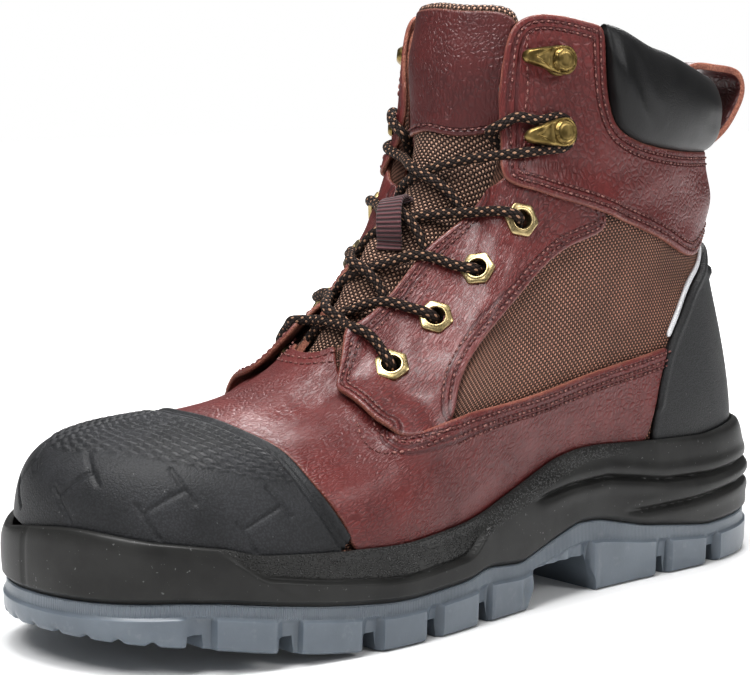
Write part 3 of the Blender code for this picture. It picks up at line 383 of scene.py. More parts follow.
def make_piece(name, points, faces, finishes, numbers=None, sharp=None):
    """Closed piece from points and faces, with its outside turned outwards."""
    mesh = bpy.data.meshes.new(name)
    mesh.from_pydata(to_frame(points).tolist(), [], faces)
    form = bmesh.new()
    form.from_mesh(mesh)
    bmesh.ops.recalc_face_normals(form, faces=form.faces)
    form.to_mesh(mesh)
    form.free()
    for finish in finishes:
        mesh.materials.append(finish)
    if numbers is not None:
        mesh.polygons.foreach_set("material_index", np.asarray(numbers, np.int32))
    mesh.shade_smooth()
    if sharp:
        mesh.set_sharp_from_angle(angle=math.radians(sharp))
    return new_object(name, mesh)


def give_numbers(piece, name, values):
    """Store one number for each point of a piece, for its material to read."""
    field = piece.data.attributes.new(name, "FLOAT", "POINT")
    field.data.foreach_set("value", np.asarray(values, np.float32))


def give_flat_map(piece, flat, wrap=None):
    """Store a flat map of each point, in millimetres; a wrap closes its first number round a ring."""
    mesh = piece.data
    corner = np.empty(len(mesh.loops), np.int32)
    mesh.loops.foreach_get("vertex_index", corner)
    flat = np.asarray(flat, float)[corner]
    if wrap:
        starts = np.empty(len(mesh.polygons), np.int32)
        totals = np.empty(len(mesh.polygons), np.int32)
        mesh.polygons.foreach_get("loop_start", starts)
        mesh.polygons.foreach_get("loop_total", totals)
        face = np.repeat(np.arange(len(starts)), totals)
        highest = np.maximum.reduceat(flat[:, 0], starts)[face]
        flat[:, 0] += wrap * (flat[:, 0] < highest - wrap / 2)
    layer = mesh.uv_layers.new(name="flat")
    layer.data.foreach_set("uv", (flat / 1000).astype(np.float32).ravel())


def place_on_boot(piece, slot, *nodes):
    """Let a finished piece ride on the boot, and stand for the solids it dresses."""
    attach(piece, "root")
    if nodes:
        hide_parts(*nodes)


def closed_faces(faces, count):
    """Faces of a form between a sheet of points and its copy, and how many of them wall its borders."""
    sides = {(a, b) for face in faces for a, b in zip(face, face[1:] + face[:1])}
    border = sorted((a, b) for a, b in sides if (b, a) not in sides)
    whole = faces + [tuple(k + count for k in reversed(face)) for face in faces]
    return whole + [(b, a, a + count, b + count) for a, b in border], len(border)


def slab(name, faces, top, bottom, finishes, sharp=None):
    """Closed piece between two sheets of points that share their faces.

    The finishes are those of the outside, the cut edge and the inside.
    """
    whole, wall = closed_faces(faces, len(top))
    numbers = [0] * len(faces) + [2] * len(faces) + [1] * wall
    return make_piece(name, np.concatenate([top, bottom]), whole, finishes, numbers, sharp)


def grid_faces(columns, rows, closed=False):
    """Faces between the columns of a grid of points, back to the first column where it is closed."""
    faces = []
    for column in range(columns if closed else columns - 1):
        a = column * rows
        b = (column + 1) % columns * rows
        faces += [(a + k, a + k + 1, b + k + 1, b + k) for k in range(rows - 1)]
    return faces


def ring_faces(rings, count):
    """Faces between closed rings of points."""
    faces = []
    for start in range(0, (rings - 1) * count, count):
        for k in range(count):
            a = start + k
            b = start + (k + 1) % count
            faces.append((a, b, b + count, a + count))
    return faces


def tube(sections, closed_ends=True):
    """Points and faces of a tube through closed sections of shape (places, points, 3)."""
    places, count = sections.shape[:2]
    faces = ring_faces(places, count)
    if closed_ends:
        faces.append(tuple(range(count)))
        faces.append(tuple((places - 1) * count + k for k in range(count)))
    return sections.reshape(-1, 3), faces


def ring_loft(rings):
    """Faces of a solid through rings of points round the foot, closed across at both ends."""
    count = len(rings[0])
    faces = ring_faces(len(rings), count)
    for base in (0, (len(rings) - 1) * count):
        for k in range(count // 2):
            rung = [base + k, base + k + 1, base + count - k - 1, base + (count - k) % count]
            rung = tuple(dict.fromkeys(rung))
            if len(rung) > 2:
                faces.append(rung)
    return faces


def pairs(first, second):
    """Rows of two numbers from two arrays that are spread over each other."""
    return np.stack(np.broadcast_arrays(first, second), axis=-1).reshape(-1, 2)


def frames_along(line):
    """Two directions across a line, which don't twist along it."""
    along = unit(np.gradient(line, axis=0))
    side = np.cross(along[0], (0.3, 0.2, 1.0))
    sides = []
    for direction in along:
        side = side - direction * (side @ direction)
        side = side / np.linalg.norm(side)
        sides.append(side)
    sides = np.array(sides)
    return sides, np.cross(along, sides)


# Panels of leather and rubber that lie on the last or on the tongue

EDGE_RINGS = (0, 0.22, 0.6, 1.1)
LONGEST_STEP = 4
# Distance that stands for no seam near
NO_SEAM = 50.0
SIDES = ((1, "lateral"), (-1, "medial"))


def line_through(table, spacing=1.5):
    """Places along the smooth line through a table's places."""
    table = np.asarray(table, float)
    lengths = chord_lengths(table)
    count = max(2, math.ceil(lengths[-1] / spacing) + 1)
    return spline(lengths, table, np.linspace(0, lengths[-1], count))


def lip_line(start, end, clearance, spacing=1.5):
    """Places along the sole's lip from one girth to another."""
    girth = np.linspace(start, end, math.ceil(abs(end - start) / spacing) + 1)
    return np.column_stack([girth, lip_level(girth, clearance)])


def mirrored(places, middle=HALF_GIRTH):
    """The same places on the other side of the heel's or the toe's middle."""
    return np.column_stack([2 * middle - places[:, 0], places[:, 1]])[::-1]


def softened(loop, times):
    for _ in range(times):
        loop = 0.5 * loop + 0.25 * (np.roll(loop, 1, axis=0) + np.roll(loop, -1, axis=0))
    return loop


def loop_of(*edges, soften=6):
    """Closed loop through edges that follow each other, its corners softened, running anticlockwise."""
    places = np.concatenate(edges)
    apart = np.linalg.norm(places - np.roll(places, 1, axis=0), axis=1)
    places = softened(places[apart > 0.3], soften)
    x, y = places.T
    area = np.sum(x * np.roll(y, -1) - y * np.roll(x, -1))
    return places if area > 0 else places[::-1]


def wrapped(middle, *edges, soften=6):
    """Closed loop of edges that start and end at a middle, with their mirror image."""
    half = np.concatenate(edges)
    return loop_of(half, mirrored(half, middle), soften=soften)


def left_steps(surface, line, closed):
    """Steps in the plane of places that go one millimetre to the left of a line on the surface."""
    reach = 0.2
    point, normal = surface(line)
    first = (surface(line + (reach, 0))[0] - surface(line - (reach, 0))[0]) / (2 * reach)
    second = (surface(line + (0, reach))[0] - surface(line - (0, reach))[0]) / (2 * reach)
    if closed:
        along = np.roll(point, -1, axis=0) - np.roll(point, 1, axis=0)
        flat = np.roll(line, -1, axis=0) - np.roll(line, 1, axis=0)
    else:
        along = np.gradient(point, axis=0)
        flat = np.gradient(line, axis=0)
    side = unit(np.cross(normal, along))
    a, b, c = (first ** 2).sum(1), (first * second).sum(1), (second ** 2).sum(1)
    p, q = (side * first).sum(1), (side * second).sum(1)
    steps = np.column_stack([c * p - b * q, a * q - b * p]) / (a * c - b * b)[:, None]
    steps = np.clip(steps, -LONGEST_STEP, LONGEST_STEP)
    left = np.column_stack([-flat[:, 1], flat[:, 0]])
    return steps if np.sum((steps * left).sum(1) > 0) > len(line) / 2 else -steps


def divided_loop(surface, loop, spacing):
    """Places and faces inside a loop, with narrow rings along its edge and a grid inside them."""
    steps = left_steps(surface, loop, True)
    form = bmesh.new()
    rings = [[form.verts.new((*place, 0)) for place in loop + steps * inset] for inset in EDGE_RINGS]
    for outer, inner in zip(rings, rings[1:]):
        for k in range(len(loop)):
            form.faces.new((outer[k - 1], outer[k], inner[k], inner[k - 1]))
    form.faces.new(rings[-1])
    cuts = []
    for axis in (0, 1):
        low, high = loop[:, axis].min(), loop[:, axis].max()
        normal = (1, 0, 0) if axis == 0 else (0, 1, 0)
        marks = np.arange(low + spacing[axis], high, spacing[axis])
        cuts.append([((mark, mark, 0), normal) for mark in marks])
    for point, normal in sum(sorted(cuts, key=len, reverse=True), []):
        everything = form.verts[:] + form.edges[:] + form.faces[:]
        bmesh.ops.bisect_plane(form, geom=everything, dist=0.01, plane_co=point, plane_no=normal)
    many = [face for face in form.faces if len(face.verts) > 4]
    bmesh.ops.triangulate(form, faces=many)
    form.verts.index_update()
    places = np.array([corner.co[:2] for corner in form.verts])
    faces = [tuple(corner.index for corner in face.verts) for face in form.faces]
    form.free()
    return places, faces


def nearest(points, line):
    """Distance from each point to the nearest of a line's points, and that point's number."""
    tree = kdtree.KDTree(len(line))
    for index, place in enumerate(line):
        tree.insert(place, index)
    tree.balance()
    index, distance = np.array([tree.find(point)[1:] for point in points]).T
    return distance, index


def rows_at(at, lengths, rows):
    """Rows at running lengths on the line through the rows."""
    return np.column_stack([np.interp(at, lengths, column) for column in rows.T])


def dense(points, spacing=0.25):
    lengths = chord_lengths(points)
    return rows_at(np.linspace(0, lengths[-1], math.ceil(lengths[-1] / spacing) + 1), lengths, points)


Fold = namedtuple("Fold", "line width depth")


def fold_heights(points, folds, surface):
    """Soft troughs with low ridges beside them along the folds, fading out at both ends."""
    height = np.zeros(len(points))
    for fold in folds:
        line = dense(surface(line_through(fold.line, 2.0))[0], 0.8)
        distance, index = nearest(points, line)
        distance = distance / fold.width
        share = index / (len(line) - 1)
        fade = np.clip(np.sin(math.pi * np.clip(share, 0.02, 0.98)), 0, 1) ** 0.6
        trough = np.exp(-distance ** 2) - 0.55 * np.exp(-((distance - 2.1) / 1.1) ** 2)
        height -= fold.depth * trough * fade
    return height


def without_holes(faces, points, middles):
    """Faces that keep clear of the eyelets' holes, renumbered, and the numbers of the points they use."""
    near = np.zeros(len(points), bool)
    for middle in middles:
        near |= np.linalg.norm(points - middle, axis=1) < HOLE_RADIUS
    faces = [face for face in faces if not any(near[k] for k in face)]
    used = np.unique([k for face in faces for k in face])
    renumber = np.full(len(points), -1)
    renumber[used] = np.arange(len(used))
    return [tuple(int(renumber[k]) for k in face) for face in faces], used


class Panel:
    """Panel with a cut edge, which lies on a surface inside a loop of places."""

    def __init__(self, surface, loop, thickness, lift=None, folds=(), seat=SEAT):
        self.surface = surface
        self.loop = loop
        self.thickness = thickness
        self.lift = lift
        self.folds = folds
        self.seat = seat

    def base(self, places):
        return self.seat + (self.lift(places) if self.lift else np.zeros(len(places)))

    def top(self, places):
        """Height of the panel's face over the surface, away from its edge."""
        points, _ = self.surface(places)
        return self.base(places) + self.thickness + fold_heights(points, self.folds, self.surface)

    def over(self, places, height=0.0):
        places = np.asarray(places, float).reshape(-1, 2)
        points, normals = self.surface(places)
        return points + normals * (self.top(places) + height)[:, None]

    def edge_distance(self, points, lines):
        border = np.concatenate([dense(self.surface(line)[0]) for line in lines])
        return nearest(points, border)[0]

    def build(self, name, spacing, finishes, seams=(), relief=None, holes=(), roll=0.8):
        """Piece with a rounded edge; a relief adds to the height of its face."""
        places, faces = divided_loop(self.surface, self.loop, spacing)
        points, normals = self.surface(places)
        if len(holes):
            faces, used = without_holes(faces, points, self.surface(holes)[0])
            places, points, normals = places[used], points[used], normals[used]
        closed = np.concatenate([self.loop, self.loop[:1]])
        inset = self.edge_distance(points, [closed])
        rounding = np.clip(1 - inset / roll, 0, 1)
        edge = np.sqrt(1 - rounding ** 2)
        base = self.base(places)
        rise = self.thickness * (0.5 + 0.5 * edge)
        rise = rise + edge * fold_heights(points, self.folds, self.surface)
        if relief is not None:
            rise = rise + relief(places, points)
        top = points + normals * (base + rise)[:, None]
        bottom = points + normals * base[:, None]
        piece = slab(name, faces, top, bottom, finishes)
        seam = self.edge_distance(points, seams) if len(seams) else np.full(len(points), NO_SEAM)
        give_numbers(piece, "seam", np.tile(seam, 2))
        give_numbers(piece, "inset", np.tile(inset, 2))
        give_flat_map(piece, np.tile(places * (1, 1.5), (2, 1)))
        return piece

    def row(self, line, inset):
        """Places of a seam that runs an inset inside the panel from one of its edges."""
        line = np.asarray(line, float)
        steps = left_steps(self.surface, line, False)
        row = line + steps * inset
        middle = row[len(row) // 2]
        if not inside_loop(middle, self.loop):
            row = line - steps * inset
        return row


def inside_loop(place, loop):
    x, y = place
    x1, y1 = loop.T
    x2, y2 = np.roll(loop, -1, axis=0).T
    crosses = (y1 > y) != (y2 > y)
    cut = x1 + (y - y1) * (x2 - x1) / np.where(y2 == y1, 1e-9, y2 - y1)
    return np.count_nonzero(crosses & (x < cut)) % 2 == 1


# Stitches are gathered as rows of (middle, direction along the seam, direction outwards)
STITCHES = []
HOLE_RADIUS = 2.7
STITCH_PITCH = 2.6
STITCH_HEIGHT = 0.12


def sew(panel, row, trim=(0, 0)):
    """Gather the stitches of a seam that follows a row of places on a panel."""
    line = panel.over(row, STITCH_HEIGHT)
    _, normals = panel.surface(row)
    lengths = chord_lengths(line)
    at = np.arange(trim[0] + STITCH_PITCH / 2, lengths[-1] - trim[1], STITCH_PITCH)
    middles = rows_at(at, lengths, line)
    ahead = rows_at(at + 0.6, lengths, line)
    behind = rows_at(at - 0.6, lengths, line)
    outs = rows_at(at, lengths, normals)
    STITCHES.extend(zip(middles, unit(ahead - behind), unit(outs)))


# Finishes

SHADER = "Principled BSDF"


def add(tree, kind, inputs=None, **settings):
    """New node with its settings and inputs; an input is a number, a colour or another node's socket."""
    item = tree.nodes.new(kind)
    for key, value in settings.items():
        setattr(item, key, value)
    for key, value in (inputs or {}).items():
        if isinstance(value, bpy.types.NodeSocket):
            tree.links.new(value, item.inputs[key])
        else:
            item.inputs[key].default_value = value
    return item


def new_finish(name, inputs):
    """Material with its constant numbers on its shader, and its node tree."""
    material = bpy.data.materials.new(name)
    material.use_nodes = True
    for key, value in inputs.items():
        material.node_tree.nodes[SHADER].inputs[key].default_value = value
    return material, material.node_tree


def calc(tree, operation, first, second=0.0, third=0.0):
    return add(tree, "ShaderNodeMath", {0: first, 1: second, 2: third}, operation=operation).outputs[0]


def span(tree, value, low, high, start=0.0, end=1.0):
    """Value carried smoothly from one range to another."""
    inputs = {"Value": value, "From Min": low, "From Max": high, "To Min": start, "To Max": end}
    return add(tree, "ShaderNodeMapRange", inputs, interpolation_type="SMOOTHSTEP").outputs[0]


def blend(tree, share, first, second):
    """Colour between two colours."""
    item = add(tree, "ShaderNodeMix", data_type="RGBA")
    for index, value in ((0, share), (6, first), (7, second)):
        if isinstance(value, bpy.types.NodeSocket):
            tree.links.new(value, item.inputs[index])
        else:
            item.inputs[index].default_value = (*value, 1) if isinstance(value, tuple) else value
    return item.outputs[2]


def object_place(tree):
    return add(tree, "ShaderNodeTexCoord").outputs["Object"]


def flat_place(tree, scale, turn=0.0):
    """Place on the piece's flat map, turned and scaled."""
    flat = add(tree, "ShaderNodeUVMap", uv_map="flat").outputs["UV"]
    inputs = {"Vector": flat, "Scale": (*scale, 1), "Rotation": (0, 0, math.radians(turn))}
    return add(tree, "ShaderNodeMapping", inputs).outputs["Vector"]


def flat_parts(tree, scale, turn=0.0):
    """The two numbers of the flat map, scaled alike."""
    return add(tree, "ShaderNodeSeparateXYZ", {"Vector": flat_place(tree, (scale, scale), turn)}).outputs


def noise(tree, place, scale, detail=3.0, rough=0.55):
    inputs = {"Vector": place, "Scale": scale, "Detail": detail, "Roughness": rough}
    return add(tree, "ShaderNodeTexNoise", inputs).outputs["Fac"]


def cells(tree, place, scale, feature="F1", randomness=1.0):
    inputs = {"Vector": place, "Scale": scale, "Randomness": randomness}
    return add(tree, "ShaderNodeTexVoronoi", inputs, feature=feature).outputs["Distance"]


def number(tree, name):
    return add(tree, "ShaderNodeAttribute", attribute_name=name).outputs["Fac"]


def finished(material, colour, height, depth, strength, rough=None):
    """Material with its colour, its relief and, where it varies, its roughness on its shader."""
    tree = material.node_tree
    inputs = {"Height": height, "Distance": depth / 1000, "Strength": strength}
    relief = add(tree, "ShaderNodeBump", inputs).outputs["Normal"]
    for key, value in (("Base Color", colour), ("Normal", relief), ("Roughness", rough)):
        if value is not None:
            tree.links.new(value, tree.nodes[SHADER].inputs[key])
    return material


def seam_groove(tree, rows):
    """Depth of the shallow grooves that the seam rows pull into a panel, from 0 to 1."""
    seam = number(tree, "seam")
    total = None
    for row in rows:
        near = span(tree, calc(tree, "ABSOLUTE", calc(tree, "SUBTRACT", seam, row)), 0.2, 0.85, 1.0, 0.0)
        total = near if total is None else calc(tree, "MAXIMUM", total, near)
    return total


def red_leather(name, rows, turn, wrinkles, grain, coat=0.06,
                deep=(0.110, 0.0185, 0.0175), light=(0.152, 0.0295, 0.0275)):
    """Pebbled, oiled red-brown leather with creases between its pebbles, seam grooves and a rubbed edge; the
    creases and the seam grooves are darkened with painted shade.

    The grain is the number of pebbles in a metre along and across the turned flat map.
    """
    material, tree = new_finish(name, {"Specular IOR Level": 0.42, "Coat Weight": coat,
                                       "Coat Roughness": 0.25, "Coat IOR": 1.45})
    place = object_place(tree)
    cloud = noise(tree, place, 42, 5.0)
    patch = noise(tree, place, 75, 3.0)
    fine = cells(tree, place, 1200)
    wander = add(tree, "ShaderNodeTexNoise", {"Vector": place, "Scale": 210.0, "Detail": 2.0})
    warped = {0: wander.outputs["Color"], 1: (1.3, 1.3, 0), 2: flat_place(tree, grain, turn)}
    warped = add(tree, "ShaderNodeVectorMath", warped, operation="MULTIPLY_ADD").outputs[0]
    lines = cells(tree, warped, 1.0, "DISTANCE_TO_EDGE")
    share = span(tree, patch, 0.3, 0.58, 0.35, 1.0)
    pebble = calc(tree, "MULTIPLY", span(tree, lines, 0.0, 0.34), share)
    crease = calc(tree, "MULTIPLY", span(tree, lines, 0.0, 0.15, 0.9 * wrinkles, 0.0), share)
    height = calc(tree, "MULTIPLY_ADD", fine, -0.22, pebble)
    colour = blend(tree, span(tree, cloud, 0.3, 0.7), deep, light)
    # Painted shade: the creases between the pebbles are darkened towards near-black.
    colour = blend(tree, calc(tree, "MULTIPLY", crease, 0.62), colour, (0.014, 0.003, 0.004))
    if rows:
        groove = seam_groove(tree, rows)
        height = calc(tree, "MULTIPLY_ADD", groove, -1.6, height)
        # Painted shade: the seam grooves are darkened in colour as well as sunk.
        colour = blend(tree, calc(tree, "MULTIPLY", groove, 0.5), colour, (0.030, 0.008, 0.010))
    rub = calc(tree, "MULTIPLY", span(tree, number(tree, "inset"), 0.1, 0.9, 1.0, 0.0),
               span(tree, patch, 0.35, 0.65, 0.15, 0.75))
    colour = blend(tree, rub, colour, (0.30, 0.12, 0.085))
    rough = span(tree, cloud, 0.25, 0.75, 0.46, 0.37)
    return finished(material, colour, height, 0.21, 1.0, rough)


def raw_edge():
    """Cut edge of the leather: fibrous tan, with darker cloudy patches."""
    material, tree = new_finish("leather_cut_edge", {"Roughness": 0.85})
    place = object_place(tree)
    fibre = noise(tree, place, 1500, 4.0, 0.7)
    cloud = noise(tree, place, 120, 3.0)
    colour = blend(tree, span(tree, fibre, 0.3, 0.7), (0.17, 0.055, 0.036), (0.46, 0.20, 0.135))
    colour = blend(tree, span(tree, cloud, 0.45, 0.75, 0.0, 0.55), colour, (0.13, 0.036, 0.028))
    return finished(material, colour, fibre, 0.5, 0.8)


def black_leather():
    """Smooth black collar leather with fine pores, soft gloss and light creasing."""
    material, tree = new_finish("black_leather", {"Specular IOR Level": 0.3, "Coat Weight": 0.08,
                                                  "Coat Roughness": 0.35})
    place = object_place(tree)
    pores = cells(tree, place, 1700)
    cloud = noise(tree, place, 60, 4.0)
    lines = cells(tree, flat_place(tree, (260, 520), 20), 1.0, "DISTANCE_TO_EDGE")
    crease = calc(tree, "MULTIPLY", span(tree, lines, 0.0, 0.1, 1.0, 0.0),
                  span(tree, cloud, 0.5, 0.8, 0, 0.5))
    height = calc(tree, "MULTIPLY_ADD", pores, -0.5, calc(tree, "MULTIPLY", crease, -0.8))
    colour = blend(tree, span(tree, cloud, 0.3, 0.7), (0.004, 0.004, 0.0045), (0.008, 0.008, 0.0085))
    rough = span(tree, cloud, 0.3, 0.7, 0.36, 0.46)
    return finished(material, colour, height, 0.16, 0.7, rough)


def moulded_rubber(name, dark, light, scale, relief, rough):
    """Black moulded rubber with a fine satin grain and a few pale specks."""
    material, tree = new_finish(name, {"Specular IOR Level": 0.32})
    place = object_place(tree)
    grain = cells(tree, place, scale)
    fine = noise(tree, place, scale * 1.8, 2.0)
    cloud = noise(tree, place, 50, 4.0)
    height = calc(tree, "MULTIPLY_ADD", grain, -0.7, fine)
    colour = blend(tree, span(tree, cloud, 0.3, 0.75), dark, light)
    # Painted shade: the low parts of the grain are darkened.
    colour = blend(tree, span(tree, grain, 0.25, 0.7, 0.0, 0.45), colour, (0.008, 0.008, 0.008))
    speck = span(tree, noise(tree, place, 700, 1.0), 0.76, 0.82)
    colour = blend(tree, calc(tree, "MULTIPLY", speck, 0.5), colour, (0.22, 0.22, 0.22))
    roughness = span(tree, cloud, 0.3, 0.7, rough - 0.05, rough + 0.06)
    return finished(material, colour, height, relief, 0.8, roughness)


def midsole_foam():
    """Black moulded midsole, smooth on its side and stippled along the top band."""
    material, tree = new_finish("black_midsole", {"Specular IOR Level": 0.3})
    place = object_place(tree)
    stipple = number(tree, "stipple")
    dots = cells(tree, place, 1200)
    cloud = noise(tree, place, 45, 4.0)
    fine = noise(tree, place, 2200, 2.0)
    bead = span(tree, dots, 0.15, 0.55, 1.0, 0.0)
    height = calc(tree, "MULTIPLY", bead, stipple)
    height = calc(tree, "MULTIPLY_ADD", fine, 0.06, height)
    colour = blend(tree, span(tree, cloud, 0.3, 0.7), (0.014, 0.014, 0.0135), (0.028, 0.028, 0.027))
    # Painted highlight: the raised stipple beads are lighter than the foam between them.
    colour = blend(tree, calc(tree, "MULTIPLY", stipple, bead), colour, (0.07, 0.07, 0.07))
    speck = calc(tree, "MULTIPLY", span(tree, noise(tree, place, 900, 1.0), 0.72, 0.78), 0.35)
    colour = blend(tree, speck, colour, (0.25, 0.25, 0.25))
    rough = span(tree, stipple, 0.0, 1.0, 0.42, 0.32)
    return finished(material, colour, height, 0.55, 0.9, rough)


def grey_rubber():
    """Blue-grey half-clear tread rubber, with fine upright ribs on the band under its top seam."""
    material, tree = new_finish("grey_tread_rubber", {
        "Roughness": 0.28, "Specular IOR Level": 0.5, "Subsurface Weight": 0.25,
        "Subsurface Scale": 0.004, "Subsurface Radius": (0.8, 0.95, 1.1)})
    place = object_place(tree)
    cloud = noise(tree, place, 40, 4.0)
    fine = noise(tree, place, 1600, 2.0)
    along = flat_parts(tree, 1000)["X"]
    ribs = calc(tree, "MULTIPLY", calc(tree, "SINE", calc(tree, "MULTIPLY", along, 2 * math.pi / 0.75)),
                number(tree, "band"))
    height = calc(tree, "MULTIPLY_ADD", ribs, 0.5, calc(tree, "MULTIPLY", fine, 0.25))
    colour = blend(tree, span(tree, cloud, 0.3, 0.7), (0.120, 0.143, 0.170), (0.158, 0.185, 0.214))
    dust = calc(tree, "MULTIPLY", span(tree, noise(tree, place, 260, 4.0), 0.6, 0.75), 0.16)
    colour = blend(tree, dust, colour, (0.33, 0.34, 0.34))
    return finished(material, colour, height, 0.2, 0.8)


def nylon_weave(name, pitch, turn, gap, thread, fleck, share):
    """Coarse plain weave of thick yarns that pass over and under each other."""
    material, tree = new_finish(name, {"Roughness": 0.62, "Specular IOR Level": 0.3})
    parts = flat_parts(tree, math.pi * 1000 / pitch, turn)
    over = calc(tree, "MULTIPLY", calc(tree, "SINE", parts["X"]),
                calc(tree, "SINE", parts["Y"]))
    yarn = calc(tree, "POWER", calc(tree, "ABSOLUTE", over), 0.6)
    place = object_place(tree)
    fuzz = noise(tree, place, 1900, 3.0, 0.6)
    cloud = noise(tree, place, 60, 3.0)
    warp = span(tree, over, -0.1, 0.1)
    colour = blend(tree, calc(tree, "MULTIPLY", warp, share), thread, fleck)
    # Painted shade: the colour darkens towards the gap colour between the yarns, where they dip under each
    # other.
    colour = blend(tree, span(tree, yarn, 0.2, 0.7, 1.0, 0.0), colour, gap)
    colour = blend(tree, span(tree, fuzz, 0.35, 0.75, 0.0, 0.15), colour, gap)
    colour = blend(tree, span(tree, cloud, 0.35, 0.7, 0.0, 0.22), colour, gap)
    height = calc(tree, "MULTIPLY_ADD", fuzz, 0.2, yarn)
    return finished(material, colour, height, 0.75, 1.0)


def lining_mesh():
    """Dark lining knit with small open cells."""
    material, tree = new_finish("lining_knit", {"Roughness": 0.9, "Sheen Weight": 0.15})
    place = object_place(tree)
    knit = cells(tree, place, 620, "DISTANCE_TO_EDGE", 0.35)
    fuzz = noise(tree, place, 1800, 3.0)
    rib = span(tree, knit, 0.04, 0.3, 1.0, 0.0)
    # Painted shade: the open cells are dark and the raised ribs round them lighter.
    colour = blend(tree, rib, (0.008, 0.008, 0.009), (0.045, 0.042, 0.042))
    height = calc(tree, "MULTIPLY_ADD", fuzz, 0.3, rib)
    return finished(material, colour, height, 0.5, 0.8)


def braided_cord():
    """Round braid in near-black brown with light flecks where single yarns come up."""
    material, tree = new_finish("braided_cord", {"Roughness": 0.72, "Specular IOR Level": 0.25})
    parts = flat_parts(tree, 1000)
    round_it = calc(tree, "MULTIPLY", parts["X"], 8 / (2 * math.pi * LACE_RADIUS))
    along = calc(tree, "DIVIDE", parts["Y"], 2.0)
    first = calc(tree, "ADD", round_it, along)
    second = calc(tree, "SUBTRACT", round_it, along)
    wave = calc(tree, "MULTIPLY", calc(tree, "SINE", calc(tree, "MULTIPLY", first, math.pi)),
                calc(tree, "SINE", calc(tree, "MULTIPLY", second, math.pi)))
    yarn = calc(tree, "POWER", calc(tree, "ABSOLUTE", wave), 0.6)
    odd = [calc(tree, "LESS_THAN", calc(tree, "FRACT", calc(tree, "MULTIPLY", item, 0.5)), 0.5)
           for item in (first, second)]
    fleck = calc(tree, "MULTIPLY", calc(tree, "MULTIPLY", *odd), span(tree, yarn, 0.3, 0.6))
    fuzz = noise(tree, object_place(tree), 1700, 3.0)
    # Painted shade: the cord is darker between its yarns than on their tops.
    colour = blend(tree, span(tree, yarn, 0.2, 0.8), (0.004, 0.003, 0.003), (0.026, 0.015, 0.012))
    colour = blend(tree, fleck, colour, (0.34, 0.20, 0.13))
    height = calc(tree, "MULTIPLY_ADD", fuzz, 0.25, yarn)
    return finished(material, colour, height, 0.45, 0.9)


def ribbed_webbing():
    """Maroon webbing with close ribs across it."""
    material, tree = new_finish("ribbed_webbing", {"Roughness": 0.8, "Sheen Weight": 0.2})
    along = flat_parts(tree, 1000)["Y"]
    rib = span(tree, calc(tree, "SINE", calc(tree, "MULTIPLY", along, 2 * math.pi / 1.45)), -0.7, 0.8)
    fuzz = noise(tree, object_place(tree), 1500, 3.0)
    # Painted shade: the webbing is darker between its ribs than on their tops.
    colour = blend(tree, rib, (0.022, 0.007, 0.009), (0.125, 0.045, 0.050))
    colour = blend(tree, span(tree, fuzz, 0.4, 0.8, 0.0, 0.4), colour, (0.05, 0.016, 0.02))
    height = calc(tree, "MULTIPLY_ADD", fuzz, 0.25, rib)
    return finished(material, colour, height, 0.5, 0.9)


def metal(name, dark, light, rough):
    """Brass with a light patina and fine scratches."""
    material, tree = new_finish(name, {"Metallic": 1.0})
    place = object_place(tree)
    cloud = noise(tree, place, 260, 2.0)
    drawn = add(tree, "ShaderNodeMapping", {"Vector": place, "Scale": (1, 6, 1)}).outputs[0]
    scratch = noise(tree, drawn, 900, 3.0)
    colour = blend(tree, span(tree, cloud, 0.3, 0.7), dark, light)
    roughness = span(tree, scratch, 0.3, 0.7, rough - 0.07, rough + 0.09)
    return finished(material, colour, scratch, 0.01, 0.3, roughness)


def sewing_thread():
    """Dark maroon twisted thread with paler highlights."""
    material, tree = new_finish("sewing_thread", {"Roughness": 0.6, "Specular IOR Level": 0.3})
    place = object_place(tree)
    twist = noise(tree, place, 1300, 2.0)
    colour = blend(tree, span(tree, twist, 0.4, 0.68), (0.085, 0.024, 0.024), (0.34, 0.17, 0.145))
    return finished(material, colour, twist, 0.2, 0.6)


def reflective_tape():
    """Silver-white tape of fine beads."""
    material, tree = new_finish("reflective_tape", {"Specular IOR Level": 0.6})
    place = object_place(tree)
    bead = cells(tree, place, 2600)
    colour = blend(tree, span(tree, bead, 0.3, 0.7), (0.86, 0.87, 0.88), (0.62, 0.63, 0.65))
    rough = span(tree, noise(tree, place, 200), 0.3, 0.7, 0.3, 0.45)
    return finished(material, colour, bead, 0.08, 0.6, rough)


def pale_floor():
    material, tree = new_finish("pale_floor", {"Roughness": 0.65, "Specular IOR Level": 0.2,
                                               "Emission Color": (1.0, 1.0, 1.0, 1.0)})
    place = object_place(tree)
    mottle = noise(tree, place, 3, 2.0)
    away = add(tree, "ShaderNodeVectorMath", {0: place}, operation="LENGTH").outputs["Value"]
    shader = tree.nodes[SHADER]
    tree.links.new(span(tree, away, 0.2, 0.9, 0.02, 0.75), shader.inputs["Emission Strength"])
    tree.links.new(blend(tree, mottle, (0.80, 0.80, 0.80), (0.83, 0.83, 0.83)), shader.inputs["Base Color"])
    return material


